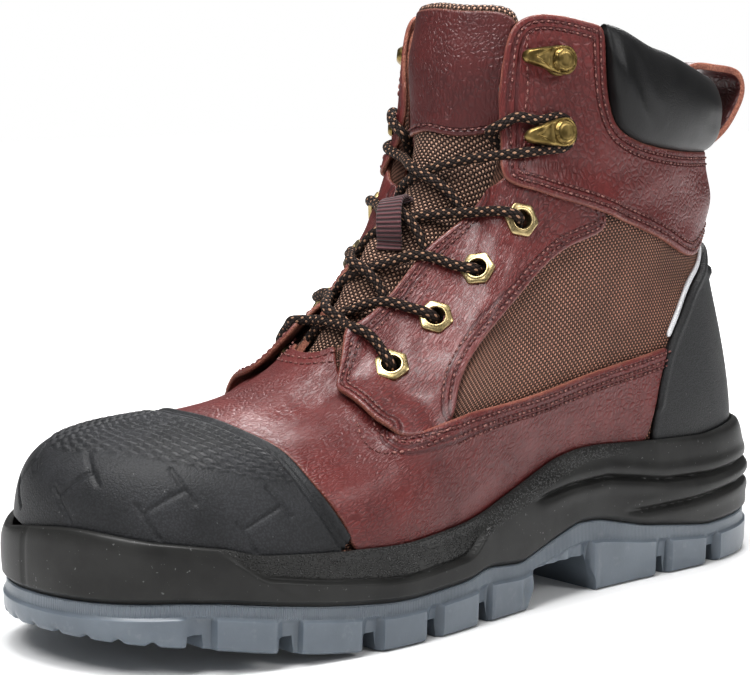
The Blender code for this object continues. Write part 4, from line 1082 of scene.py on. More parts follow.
CUT_EDGE = raw_edge()
VAMP_LEATHER = red_leather("vamp_leather", (2.0, 4.6, 6.4), 8, 0.65, (430, 520), 0.14,
                           (0.105, 0.0175, 0.0165), (0.146, 0.0275, 0.0255))
STAY_LEATHER = red_leather("eyestay_leather", (2.2, 4.4), -28, 0.9, (300, 540), 0.42)
ANKLE_LEATHER = red_leather("ankle_leather", (2.4, 4.8), 25, 0.6, (330, 470), 0.12)
PATCH_LEATHER = red_leather("patch_leather", (2.2,), 10, 0.6, (340, 380), 0.06,
                            (0.066, 0.0135, 0.0135), (0.094, 0.020, 0.0195))
LOOP_LEATHER = red_leather("loop_leather", (), 0, 0.4, (380, 420), 0.06,
                           (0.045, 0.012, 0.0115), (0.085, 0.022, 0.021))
COLLAR_LEATHER = black_leather()
CAP_RUBBER = moulded_rubber("toe_cap_rubber", (0.020, 0.021, 0.023), (0.036, 0.037, 0.041), 1300, 0.2, 0.5)
COUNTER_RUBBER = moulded_rubber("counter_rubber", (0.022, 0.023, 0.024), (0.034, 0.035, 0.037), 1400, 0.2,
                                0.5)
MIDSOLE_FOAM = midsole_foam()
TREAD_RUBBER = grey_rubber()
QUARTER_NYLON = nylon_weave("quarter_nylon", 1.03, 0, (0.014, 0.007, 0.005), (0.160, 0.076, 0.053),
                            (0.66, 0.350, 0.250), 0.95)
TONGUE_NYLON = nylon_weave("tongue_nylon", 1.05, 0, (0.012, 0.007, 0.006), (0.105, 0.056, 0.043),
                           (0.68, 0.43, 0.315), 0.95)
LINING = lining_mesh()
CORD = braided_cord()
WEBBING = ribbed_webbing()
EYELET_BRASS = metal("pale_brass", (0.36, 0.28, 0.14), (0.52, 0.42, 0.235), 0.32)
HOOK_BRASS = metal("antique_brass", (0.13, 0.092, 0.032), (0.34, 0.25, 0.10), 0.36)
THREAD = sewing_thread()
TAPE = reflective_tape()
FLOOR = pale_floor()


# Upper and its panels

# Width of the nylon at the shaft for each millimetre of the sole's edge
GIRTH_SHARE = 0.93


def quarter_shell():
    """Nylon quarter with its lining: one wall round the foot, open at the throat, mouth and sole."""
    columns, rows = 290, 72
    girth = np.arange(columns) * GIRTH / columns
    level = np.linspace(0, 100, rows)
    places = pairs(girth[:, None], level)
    points, normals = on_last(places)
    holes = np.concatenate([EYELETS, mirrored(np.array(EYELETS))])
    faces, used = without_holes(grid_faces(columns, rows, closed=True), points, on_last(holes)[0])
    top = points[used]
    bottom = top - normals[used] * WALL
    piece = slab("quarter_nylon", faces, top, bottom, (QUARTER_NYLON, CUT_EDGE, LINING), 50)
    rise = running(points.reshape(columns, rows, 3), 1).ravel()
    flat = np.column_stack([places[:, 0] * GIRTH_SHARE, rise])[used]
    give_flat_map(piece, np.tile(flat, (2, 1)), GIRTH * GIRTH_SHARE)
    place_on_boot(piece, "nylon", "upper")


def on_both_sides(folds):
    """Folds of the outer side with the same folds on the inner side."""
    return list(folds) + [fold._replace(line=[(GIRTH - girth, level) for girth, level in fold.line])
                          for fold in folds]


VAMP_FOLDS = on_both_sides((
    Fold(((266, 56), (284, 65), (306, 72), (330, 75)), 4.9, 0.32),
    Fold(((262, 49), (280, 58), (300, 66), (322, 70)), 4.2, 0.25),
    Fold(((256, 43), (272, 51), (290, 60)), 3.8, 0.18),
    Fold(((244, 40), (258, 42), (274, 48)), 4.2, 0.16),
    Fold(((270, 62), (290, 70), (312, 78), (334, 82)), 4.2, 0.23),
    Fold(((205, 33), (212, 29), (216, 24)), 4.8, 0.14),
    Fold(((176, 30), (182, 26), (184, 22)), 4.8, 0.11),
    Fold(((140, 28), (146, 25), (147, 22)), 4.8, 0.10),
))
STAY_FOLDS = (
    Fold(((264, 84), (254, 76), (240, 69), (226, 62)), 3.3, 0.30),
    Fold(((270, 70), (258, 66), (242, 60), (230, 54)), 3.0, 0.23),
    Fold(((246, 88), (236, 80), (220, 73), (206, 66)), 3.3, 0.30),
    Fold(((238, 93), (224, 88), (210, 78), (194, 70)), 3.0, 0.20),
    Fold(((216, 90), (206, 82), (196, 76)), 2.7, 0.17),
    Fold(((204, 76), (190, 68), (176, 62)), 3.3, 0.25),
    Fold(((180, 74), (168, 69), (154, 66)), 2.8, 0.17),
)
ANKLE_FOLDS = on_both_sides((
    Fold(((176, 78), (156, 79), (138, 77), (120, 74)), 3.6, 0.48),
    Fold(((150, 83), (138, 81), (124, 79), (104, 78)), 3.3, 0.44),
    Fold(((148, 88), (142, 84.5), (134, 82)), 3.0, 0.32),
    Fold(((122, 71), (104, 72), (84, 70), (64, 68)), 4.2, 0.44),
    Fold(((96, 76), (80, 75), (62, 72), (44, 70)), 3.9, 0.40),
    Fold(((80, 65), (66, 66), (50, 66)), 3.3, 0.32),
    Fold(((196, 91), (184, 93), (172, 92)), 2.7, 0.20),
))
FLAP_OVERLAP = 9.0


def near_line(places, line):
    """Distance on the last from places to a line of places."""
    return nearest(on_last(places)[0], dense(on_last(line)[0], 0.5))[0]


def outer_side(places):
    """The same places on the outer side."""
    girth = np.minimum(np.abs(places[:, 0]), np.abs(GIRTH - places[:, 0]))
    return np.column_stack([girth, places[:, 1]])


def flap_lift(places):
    """Front flap of the eyestay: laid over the vamp, its edge standing a little away from it."""
    gap = near_line(outer_side(places), line_through(STAY_FRONT))
    lap = (LEATHER + 0.25) * (1 - smooth_step((gap - FLAP_OVERLAP) / 9))
    return lap + 2.3 * np.exp(-(gap / 5.5) ** 2)


def over_foot_lift(places):
    """Top edge of the vamp: laid over the foot of the eyestay and a little over the nylon."""
    half = outer_side(places)
    gap = near_line(half, line_through(VAMP_TOP[:6]))
    along = smooth_step((half[:, 0] - 206) / 12) * (1 - smooth_step((half[:, 0] - 250) / 8))
    return (0.35 + (LEATHER - 0.1) * along) * (1 - smooth_step((gap - 3.2) / 8))


def over_stay_lift(places):
    """Ankle panel: its lower edge laid over the top of the eyestay, and full round the back."""
    half = outer_side(places)
    gap = near_line(half, line_through(ANKLE_LOW[4:]))
    along = smooth_step((half[:, 0] - 118) / 12)
    full = 4.2 * np.exp(-((half[:, 1] - 71) / 7) ** 2) * (1 - smooth_step(half[:, 0] / 75))
    return full + (0.3 + (LEATHER - 0.05) * along) * (1 - smooth_step((gap - 3.6) / 9))


# Seam rows of the vamp that follow none of its edges: two round the eyestay's foot and two at the throat
VAMP_SEAMS = (
    ((222, 39), (238, 41), (252.8, 46.5), (264, 55.2), (274.5, 65.2)),
    ((222, 41), (238, 43), (250.5, 49), (260, 57), (269, 65.2)),
    ((314, 94.5), (330, 96.5), (348, 97.2), (362.5, 97.5)),
    ((318, 91.5), (332, 94), (348, 95), (362.5, 95.3)),
)


def vamp():
    """Vamp and side guard in one, from the toe cap to the heel counter."""
    front = line_through(CAP_REAR)[::-1] + (-0.4, 0.35)
    front[0, 0] = HALF_GIRTH
    foot = lip_line(*VAMP_FOOT, -3)
    throat = pairs(np.linspace(VAMP_TOP[-1][0], HALF_GIRTH, 20), 100.0)
    loop = wrapped(HALF_GIRTH, front, foot, line_through(VAMP_REAR), line_through(VAMP_TOP), throat, soften=8)
    panel = Panel(on_last, loop, LEATHER, over_foot_lift, VAMP_FOLDS)
    lower = line_through(VAMP_TOP[:6])
    seams = [lower, mirrored(lower)]
    piece = panel.build("vamp_leather", (1.9, 1.3), (VAMP_LEATHER, CUT_EDGE, CUT_EDGE), seams)
    place_on_boot(piece, "leather_red", "vamp")
    rows = [panel.row(lower, 2.0), panel.row(lower, 4.6)[:-16], panel.row(lower, 6.4)[:-18]]
    rows += [line_through(seam) for seam in VAMP_SEAMS]
    for row in rows + [mirrored(row) for row in rows]:
        sew(panel, row)


def eyestays():
    """Stiff leather facings that carry the eyelets, each with a flap over the vamp."""
    edges = [line_through(edge) for edge in (STAY_FRONT, STAY_THROAT, STAY_TOP, STAY_REAR, STAY_FOOT)]
    front, throat, _, rear, _ = edges
    panels = {}
    for side, word in SIDES:
        loop = loop_of(*edges)
        folds = STAY_FOLDS
        lines = [front, throat, rear]
        holes = np.array(EYELETS)
        if side < 0:
            loop = loop_of(mirrored(loop), soften=0)
            folds = on_both_sides(STAY_FOLDS)[len(STAY_FOLDS):]
            lines = [mirrored(line) for line in lines]
            holes = mirrored(holes)
        panel = Panel(on_last, loop, LEATHER, flap_lift, folds)
        finishes = (STAY_LEATHER, CUT_EDGE, CUT_EDGE)
        piece = panel.build(f"eyestay_leather_{word}", (1.5, 1.1), finishes, lines, holes=holes)
        place_on_boot(piece, "leather_red", f"eyestay_{word}")
        for line in lines:
            for inset in (2.2, 4.4):
                sew(panel, panel.row(line, inset), trim=(3.0, 3.0))
        panels[side] = panel
    return panels


def ankle_panel():
    """Leather cuff round the ankle, which carries the hooks."""
    edges = [line_through(edge) for edge in (ANKLE_LOW, ANKLE_FRONT, ANKLE_TOP, ANKLE_BACK)]
    panel = Panel(on_last, wrapped(0, *edges, soften=4), LEATHER, over_stay_lift, ANKLE_FOLDS)
    lines = edges + [mirrored(edge, 0) for edge in edges]
    piece = panel.build("ankle_leather", (1.9, 1.2), (ANKLE_LEATHER, CUT_EDGE, CUT_EDGE), lines)
    place_on_boot(piece, "leather_red", "ankle_panel")
    for edge, trim in zip(edges, (0.0, 3.0, 3.0, 0.0)):
        for inset in (2.4, 4.8):
            row = panel.row(edge, inset)
            sew(panel, row, trim=(trim, trim))
            sew(panel, mirrored(row, 0), trim=(trim, trim))
    return panel


# Toe cap

HERRINGBONE_PITCH = 2.6
HERRINGBONE_STEP = 5.2
HERRINGBONE_DEPTH = 1.0
CAP_THICKNESS = 2.8
# Grooves along the cap's rear rim: their distances from its edge, and their depth
RIM_GROOVES = (2.9, 4.9)
RIM_GROOVE_DEPTH = 1.1
# Line grooves of one group on the cap's wall as (girth, level) from end to end
CAP_GROOVES = (((319.5, 38.3), (308.2, 29)), ((312.8, 32), (321, 23.8)), ((324, 25.3), (315, 17)))
CAP_GROOVE_STEP = 29.5
CAP_GROOVE_DEPTH = 0.75


def lengths_on_last(places):
    """Millimetres along each level from the toe's middle, and up each girth from the feather line."""
    girth = np.linspace(240, GIRTH - 240, 246)
    level = np.linspace(0, 72, 145)
    grid = upper_point(girth[:, None], level[None, :])
    across = running(grid, 0)
    across -= across[len(girth) // 2]
    upwards = running(grid, 1)
    i = np.clip((places[:, 0] - girth[0]) / (girth[1] - girth[0]), 0, len(girth) - 1.001)
    j = np.clip((places[:, 1] - level[0]) / (level[1] - level[0]), 0, len(level) - 1.001)
    a, b = i.astype(int), j.astype(int)
    i, j = i - a, j - b
    found = []
    for table in (across, upwards):
        low = table[a, b] * (1 - i) + table[a + 1, b] * i
        high = table[a, b + 1] * (1 - i) + table[a + 1, b + 1] * i
        found.append(low * (1 - j) + high * j)
    return found


def cap_relief(places, points):
    """Moulded pattern of the cap: shingled zigzags on top, line grooves on the wall, a grooved rim."""
    across, upwards = lengths_on_last(places)
    border_level = 40 - 4.5 * np.exp(-((places[:, 0] - HALF_GIRTH) / 18) ** 2)
    _, border = lengths_on_last(np.column_stack([places[:, 0], border_level]))
    rear = line_through(CAP_REAR)
    rear_gap, _ = nearest(points, dense(on_last(np.concatenate([rear, mirrored(rear)]))[0]))
    turn = np.mod(across / HERRINGBONE_STEP, 1)
    zigzag = np.where(turn < 0.7, turn / 0.7, (1 - turn) / 0.3) * 1.5
    phase = np.mod((upwards - border - zigzag) / HERRINGBONE_PITCH, 1)
    shingle = smooth_step(phase / 0.22) * (1 - 0.85 * np.clip((phase - 0.22) / 0.78, 0, 1))
    field = smooth_step((upwards - border) / 1.6) * smooth_step((rear_gap - 6.4) / 1.2)
    height = HERRINGBONE_DEPTH * (shingle - 0.5) * field
    for middle in RIM_GROOVES:
        height -= RIM_GROOVE_DEPTH * np.exp(-((rear_gap - middle) / 0.6) ** 2)
    wall = smooth_step((border - upwards + 1.5) / 1.5)
    for shift in range(-1, 5):
        for groove in CAP_GROOVES:
            ends = np.array(groove) + (shift * CAP_GROOVE_STEP, 0)
            gap, _ = nearest(points, dense(on_last(line_through(ends))[0], 0.3))
            height -= CAP_GROOVE_DEPTH * np.exp(-(gap / 0.75) ** 2) * wall
    return height


def toe_cap():
    rear = line_through(CAP_REAR, 1.0)
    foot = lip_line(HALF_GIRTH, CAP_FOOT_GIRTH, -3, 1.0)
    loop = wrapped(HALF_GIRTH, foot, rear, soften=1)
    panel = Panel(on_last, loop, CAP_THICKNESS)
    finishes = (CAP_RUBBER, CAP_RUBBER, LINING)
    piece = panel.build("toe_cap_rubber", (0.62, 0.42), finishes, relief=cap_relief, roll=1.4)
    place_on_boot(piece, "rubber_black", "toe_cap")


def heel_counter():
    """Moulded counter with a raised rim along its top and a small knob at the back."""
    top = line_through(COUNTER_TOP)
    loop = wrapped(0, lip_line(0, COUNTER_FOOT_GIRTH, -3), top)
    rim_line = np.concatenate([top, mirrored(top, 0)])

    def relief(places, points):
        gap, _ = nearest(points, dense(on_last(rim_line)[0]))
        knob = np.linalg.norm(points - on_last(np.array([COUNTER_KNOB]))[0], axis=1)
        height = 0.75 * (1 - smooth_step((gap - 2.2) / 1.0)) * smooth_step(gap / 0.9)
        return height + 1.5 * np.exp(-(knob / 2.2) ** 4)

    panel = Panel(on_last, loop, COUNTER_THICKNESS)
    finishes = (COUNTER_RUBBER, COUNTER_RUBBER, LINING)
    piece = panel.build("heel_counter_rubber", (1.2, 0.8), finishes, relief=relief, roll=1.2)
    place_on_boot(piece, "rubber_black", "heel_counter")


def piping():
    for side, word in SIDES:
        loop = loop_of(line_through(PIPING_BACK), line_through(PIPING_FRONT), soften=3)
        if side < 0:
            loop = loop_of(mirrored(loop), soften=0)
        panel = Panel(on_last, loop, PIPING_THICKNESS)
        piece = panel.build(f"reflective_piping_{word}", (1.5, 1.0), (TAPE, TAPE, TAPE), roll=1.0)
        place_on_boot(piece, "reflective", f"piping_{word}")


# Collar

# Section of the collar: share of the way from its seam to the topline, height over the shell, rise
COLLAR_SECTION = ((0, 0.2, 0), (-0.01, 1.9, 0), (0.06, 4.0, 0), (0.22, 6.2, 0), (0.45, 7.2, 0),
                  (0.68, 6.9, 0), (0.88, 5.2, 0.4), (1.0, 2.4, 1.5), (1.02, -0.9, 2.0), (0.99, -3.8, 1.4),
                  (0.86, -5.4, 0.4), (0.65, -5.8, 0), (0.45, -4.6, 0), (0.42, -2.7, 0), (0.7, -2.6, 0),
                  (1.0, -2.5, 0.35), (1.005, -1.0, 0.5), (1.0, 0.3, 0.35), (0.7, 0.25, 0), (0.3, 0.2, 0))
COLLAR_FOLDS = (
    Fold(((126, 99), (120, 94.5), (113, 91), (106, 89)), 2.0, 0.6),
    Fold(((60, 91), (44, 90.5), (26, 91)), 3.0, 0.35),
    Fold(((-126, 99), (-120, 94.5), (-113, 91), (-106, 89)), 2.0, 0.6),
    Fold(((-60, 91), (-44, 90.5), (-26, 91)), 3.0, 0.35),
)


def collar():
    """Padded collar: a full, rounded section that laps over the topline, carried round the heel."""
    end = COLLAR_LOW[0][0]
    girth = np.linspace(-end, end, 230)
    low_edge = line_through(COLLAR_LOW)[::-1]
    low = np.interp(np.abs(girth), low_edge[:, 0], low_edge[:, 1])
    section = np.array(COLLAR_SECTION)
    knots = np.arange(len(section))
    section = spline(knots, section, np.arange(0, len(section), 0.4), len(section))
    fill = np.clip((end - np.abs(girth)) / 6, 0, 1) ** 0.5
    rings = []
    for share, height, rise in section:
        level = np.minimum(low + (100 - low) * share, 100.6)
        full = height * (0.45 + 0.55 * fill) if height > 1 else np.full(len(girth), height)
        points, normals = on_last(np.column_stack([girth, level]))
        if height > 1:
            full = full + fold_heights(points, COLLAR_FOLDS, on_last) * min(1, height / 5)
        front = smooth_step((np.abs(girth) - 100) / 34)
        rings.append(points + normals * full[:, None] + np.outer((1 + 2.2 * front) * rise, (0, 0, 1)))
    points, faces = tube(np.stack(rings, axis=1))
    piece = make_piece("collar_leather", points, faces, (COLLAR_LEATHER,), sharp=60)
    give_flat_map(piece, pairs(girth[:, None], 2.0 * np.arange(len(section))))
    place_on_boot(piece, "leather_black", "collar")


# Tongue and what it carries

PATCH_EDGE = ((-94, 100), (-94, 84), (-90, 75), (-76, 70.6), (-45, 69.6), (0, 70.4), (40, 69.8), (66, 70.6),
              (78, 74), (82, 84), (82, 100))
PATCH_TOP = 98.6
PATCH_THICKNESS = 1.4
BINDING_SIDES = 22
KEEPER_WIDTH = 8.6
KEEPER_THICKNESS = 1.3


def tongue():
    """Soft nylon tongue with a bound top edge, and its leather patch."""
    across = np.linspace(-100, 100, 71)
    along = np.linspace(0, 100, 121)
    places = pairs(across[:, None], along)
    points, normals = on_tongue(places)
    u, v = places.T
    rim = np.minimum(np.minimum(v * 1.3, (100 - v) * 1.3), (100 - np.abs(u)) * 0.5)
    soft = np.sqrt(1 - np.clip(1 - rim / 2.2, 0, 1) ** 2)
    sag = 0.35 * np.sin(v * 0.55 + 1.5 * np.sin(u * 0.05)) * np.exp(-((v - 45) / 30) ** 2)
    top = points - normals * (1.6 * (1 - soft) - sag)[:, None]
    bottom = points - normals * (TONGUE_THICKNESS - 1.6 * (1 - soft))[:, None]
    faces = grid_faces(len(across), len(along))
    piece = slab("tongue_nylon", faces, top, bottom, (TONGUE_NYLON, TONGUE_NYLON, LINING), 60)
    grid = points.reshape(len(across), len(along), 3)
    width = running(grid, 0)
    width -= width[len(across) // 2]
    flat = np.column_stack([width.ravel(), running(grid, 1).ravel()])
    give_flat_map(piece, np.tile(flat, (2, 1)))
    place_on_boot(piece, "nylon", "tongue")
    binding()
    patch()


def binding():
    """Folded tape over the tongue's top edge."""
    across = np.linspace(-92, 92, 90)
    below, edge, above = (on_tongue(pairs(across, along)) for along in (98.0, 99.0, 100.0))
    out = edge[1]
    middle = edge[0] - out * TONGUE_THICKNESS / 2
    up = unit(above[0] - below[0])
    ripple = 1 + 0.05 * np.sin(across * 0.9)
    rings = []
    for angle in np.linspace(0, 2 * math.pi, BINDING_SIDES, endpoint=False):
        reach = (TONGUE_THICKNESS / 2 + 0.9) * ripple * math.cos(angle)
        rise = 2.2 * ripple * math.sin(angle)
        rings.append(middle + out * reach[:, None] + up * rise[:, None])
    points, faces = tube(np.stack(rings, axis=1))
    piece = make_piece("tongue_binding", points, faces, (TONGUE_NYLON,), sharp=60)
    give_flat_map(piece, pairs(across[:, None] * 0.45, 0.55 * np.arange(BINDING_SIDES)))
    place_on_boot(piece, "nylon")


def patch():
    """Plain leather patch on the tongue."""
    edge = line_through(PATCH_EDGE)
    edge = edge[edge[:, 1] < PATCH_TOP]
    top = pairs(np.linspace(PATCH_EDGE[-1][0], PATCH_EDGE[0][0], 60), PATCH_TOP)
    panel = Panel(on_tongue, loop_of(edge, top, soften=5), PATCH_THICKNESS, seat=0.3)
    piece = panel.build("tongue_patch_leather", (2.2, 1.0), (PATCH_LEATHER, CUT_EDGE, CUT_EDGE), [edge])
    place_on_boot(piece, "leather_red", "tongue_patch")
    sew(panel, panel.row(edge, 2.2), trim=(4, 36))


def strap(name, middles, sides, outs, width, thickness, finishes, bevel=0.35):
    """Flat strap along a line of middles, with its width along the sides and its face outwards."""
    half, thick = width / 2, thickness / 2
    across = np.linspace(-half + bevel, half - bevel, 9)
    outline = [(a, thick) for a in across] + [(half, thick - bevel), (half, bevel - thick)]
    outline += [(a, -thick) for a in across[::-1]] + [(-half, bevel - thick), (-half, thick - bevel)]
    points, faces = tube(np.stack([middles + sides * a + outs * b for a, b in outline], axis=1))
    edges = {8, 9, 10, 19, 20, 21}
    numbers = [1 if index % len(outline) in edges else 0 for index in range(len(faces) - 2)] + [1, 1]
    piece = make_piece(name, points, faces, finishes, numbers, sharp=50)
    give_flat_map(piece, pairs(np.array(outline)[:, 0], chord_lengths(middles)[:, None]))
    give_numbers(piece, "inset", np.tile([half - abs(a) for a, _ in outline], len(middles)))
    give_numbers(piece, "seam", np.full(len(points), NO_SEAM))
    return piece


def lace_keeper():
    """Ribbed webbing loop sewn to the tongue, which the laces pass through."""
    share = np.linspace(0, 1, 60)
    places = np.column_stack([32 - 38 * share, 38 + 13 * share])
    height = 0.75 + 7.2 * np.sin(math.pi * np.clip((share - 0.14) / 0.8, 0, 1)) ** 0.55
    middles = over_tongue(places, height)
    _, outs = on_tongue(places)
    along = unit(np.gradient(middles, axis=0))
    sides = unit(np.cross(along, outs))
    outs = unit(np.cross(sides, along))
    finishes = (WEBBING, WEBBING)
    piece = strap("lace_keeper_webbing", middles, sides, outs, KEEPER_WIDTH, KEEPER_THICKNESS, finishes)
    place_on_boot(piece, "webbing", "lace_keeper")


def pull_loop():
    """Leather strap folded into a loop at the back of the collar."""
    lengths = chord_lengths(LOOP_ROUTE)
    route = spline(lengths, LOOP_ROUTE, np.linspace(0, lengths[-1], 90))
    middles = np.insert(route, 1, 0, axis=1)
    along = unit(np.gradient(middles, axis=0))
    sides = np.tile((0.0, 1.0, 0.0), (len(route), 1))
    outs = np.cross(sides, along)
    finishes = (LOOP_LEATHER, CUT_EDGE)
    piece = strap("pull_loop_leather", middles, sides, outs, LOOP_WIDTH, LOOP_THICKNESS, finishes, 0.5)
    place_on_boot(piece, "leather_red", "pull_loop")


def insole():
    count = 160
    girth = np.arange(count) * GIRTH / count
    bed = upper_point(girth, np.zeros(count))[:, 2]
    rings = []
    for inset, rise in ((3.4, 0.1), (3.2, 0.9), (3.2, 2.3), (3.7, 2.9), (5.0, 3.1)):
        ring = over_last(np.column_stack([girth, np.zeros(count)]), -inset)
        rings.append(np.column_stack([ring[:, :2], bed + rise]))
    piece = make_piece("insole_lining", np.concatenate(rings), ring_loft(rings), (LINING,), sharp=60)
    place_on_boot(piece, "lining", "insole")


# Sole

# Grooves between the heel's ribs as (x, height)
UPPER_GROOVE = ((0, 36.5), (13, 35.4), (43, 34.4), (71, 35.5), (85, 37.8), (101, 40.3), (121, 39.8),
                (138, 37.8))
LOWER_GROOVE = ((0, 27.8), (13, 28.6), (55, 26), (80, 25.7), (92, 26.5))
# Room between the lip and the upper's shell as (girth, distance)
CLEARANCE = ((0, 2.6), (96, 2.6), (100, 1.95), (249, 1.95), (256, 3.05), (363, 3.05))


def midsole():
    """Cup with a ribbed heel, a stippled band along the forefoot and a bumper round the toe."""
    count = 520
    girth = np.arange(count) * GIRTH / count
    edge = sole_edge(girth)
    out = sole_edge_normal(girth)
    x = edge[:, 0]
    half = np.minimum(girth, GIRTH - girth)
    seam = sole_height("seam", girth)
    shelf = sole_height("shelf", girth)
    lip = sole_height("lip", girth)
    clear = np.interp(half, *np.array(CLEARANCE).T)
    level = lip_level(girth)
    rim = over_last(np.column_stack([girth, level]), clear + 1.6)[:, :2]
    front = smooth_step((x - 163) / 9)
    upper_groove = np.interp(x, *np.array(UPPER_GROOVE).T)
    lower_groove = np.interp(x, *np.array(LOWER_GROOVE).T)
    upper_share = smooth_step((143 - x) / 14)
    lower_share = smooth_step((94 - x) / 16)
    rings = []
    stipple = []

    def ring(plan, height, dots=None):
        rings.append(np.column_stack([plan, height]))
        stipple.append(np.zeros(count) if dots is None else dots)

    ring(edge - out * 7, seam)
    for share in np.linspace(0, 1, 58) ** 0.92:
        height = seam + (lip - 0.3 - seam) * share
        toe = smooth_step((x - 260.5 - 1.35 * (height - 29.5) + 1.5) / 3.5)
        fore = front * (1 - toe)
        roll = 1 - np.sqrt(1 - np.clip(1 - (lip - height) / 5.5, 0, 1) ** 2)
        band = np.clip((height - shelf) / (lip - shelf), 0, 1)
        ledge = smooth_step((height - shelf + 0.6) / 1.5)
        step = 0.4 * ledge + 0.6 * band ** 1.5
        heel = 0.52 * share ** 1.2 + 0.48 * (1 - np.sqrt(1 - share ** 9))
        blend_share = (toe * roll + fore * step + (1 - toe - fore) * heel)[:, None]
        plan = edge * (1 - blend_share) + rim * blend_share
        bulge = -1.7 * (1 - smooth_step((height - seam) / 1.9))
        bulge += 0.45 * np.sin(math.pi * share) * (1 - fore)
        bulge -= 1.1 * fore * ledge * (1 - smooth_step((height - lip + 4) / 4))
        bulge -= 0.5 * fore * np.exp(-((height - shelf - 0.7) / 0.7) ** 2)
        for groove, weight, depth in ((upper_groove, upper_share, 1.9), (lower_groove, lower_share, 1.7)):
            off = height - groove
            bulge -= weight * depth * np.exp(-(off / 0.95) ** 2)
            bulge += weight * 0.55 * np.exp(-((np.abs(off) - 3.4) / 2.2) ** 2)
        bulge -= 0.45 * np.exp(-((girth - HALF_GIRTH) / 0.7) ** 2) * smooth_step((height - seam) / 1.5)
        low = np.where(x > 168, shelf + 1.4, lip - 7.5 + 3 * smooth_step((140 - x) / 40))
        dots = smooth_step((height - low) / 0.9) * (1 - toe) * smooth_step((x - 84) / 26)
        ring(plan + out * bulge[:, None], height, dots)
    inside = over_last(np.column_stack([girth, level]), clear)
    top_middle = (rings[-1][:, :2] + inside[:, :2]) / 2
    ring(top_middle, lip + 0.25)
    ring(inside[:, :2], lip - 0.2)
    for share, gap, drop in ((0.72, clear * 0.9, 0), (0.4, clear * 0.4, 0), (0.0, np.full(count, 0.3), 0.4)):
        points = over_last(np.column_stack([girth, level * share]), gap)
        ring(points[:, :2], points[:, 2] - drop)
    piece = make_piece("midsole_foam", np.concatenate(rings), ring_loft(rings), (MIDSOLE_FOAM,), sharp=60)
    give_numbers(piece, "stipple", np.concatenate(stipple))
    place_on_boot(piece, "midsole_black", "midsole")


# Gaps between the lugs: middle, width at the floor, width at the root and height of the root
LugGap = namedtuple("LugGap", "x wide narrow root")
LUG_GAPS = (LugGap(42, 8, 5, 6.5), LugGap(70.5, 7, 4, 6.5), LugGap(125.5, 43, 30, 13.5),
            LugGap(168.5, 8, 4, 7), LugGap(195, 7, 4, 6.5), LugGap(222.5, 9, 5, 6.8),
            LugGap(253, 10, 5, 10), LugGap(280.5, 9, 5, 13))
# Channels along the underside: their ends and depth
CHANNELS = ((18, 100, 5.5), (150, 272, 5.0))
CHANNEL_Y = 14.0
BAND = 4.6


def wedge(middle, low, high, bottom, top):
    """Mesh object of a block that narrows from its bottom (x and y size) to its top."""
    form = bmesh.new()
    bmesh.ops.create_cube(form, size=2)
    for corner in form.verts:
        size = high if corner.co.z > 0 else low
        place = (middle[0] + corner.co.x * size[0] / 2, middle[1] + corner.co.y * size[1] / 2,
                 top if corner.co.z > 0 else bottom)
        corner.co = to_frame(place)[0]
    mesh = bpy.data.meshes.new("wedge")
    form.to_mesh(mesh)
    form.free()
    return new_object("wedge", mesh)


def evaluated_mesh(piece):
    bpy.context.view_layer.update()
    graph = bpy.context.evaluated_depsgraph_get()
    whole = piece.evaluated_get(graph)
    return bpy.data.meshes.new_from_object(whole, preserve_all_data_layers=True, depsgraph=graph)


def lug_share(x):
    """How far the side stands out at each x: 1 on a lug's face, 0 in the gap beside it."""
    share = np.ones(len(x))
    for gap in LUG_GAPS:
        half = gap.narrow / 2 + 1.6
        inside = smooth_step((x - gap.x + half + 0.9) / 1.6)
        share = np.minimum(share, 1 - inside * (1 - smooth_step((x - gap.x - half + 3.4) / 4.6)))
    return share


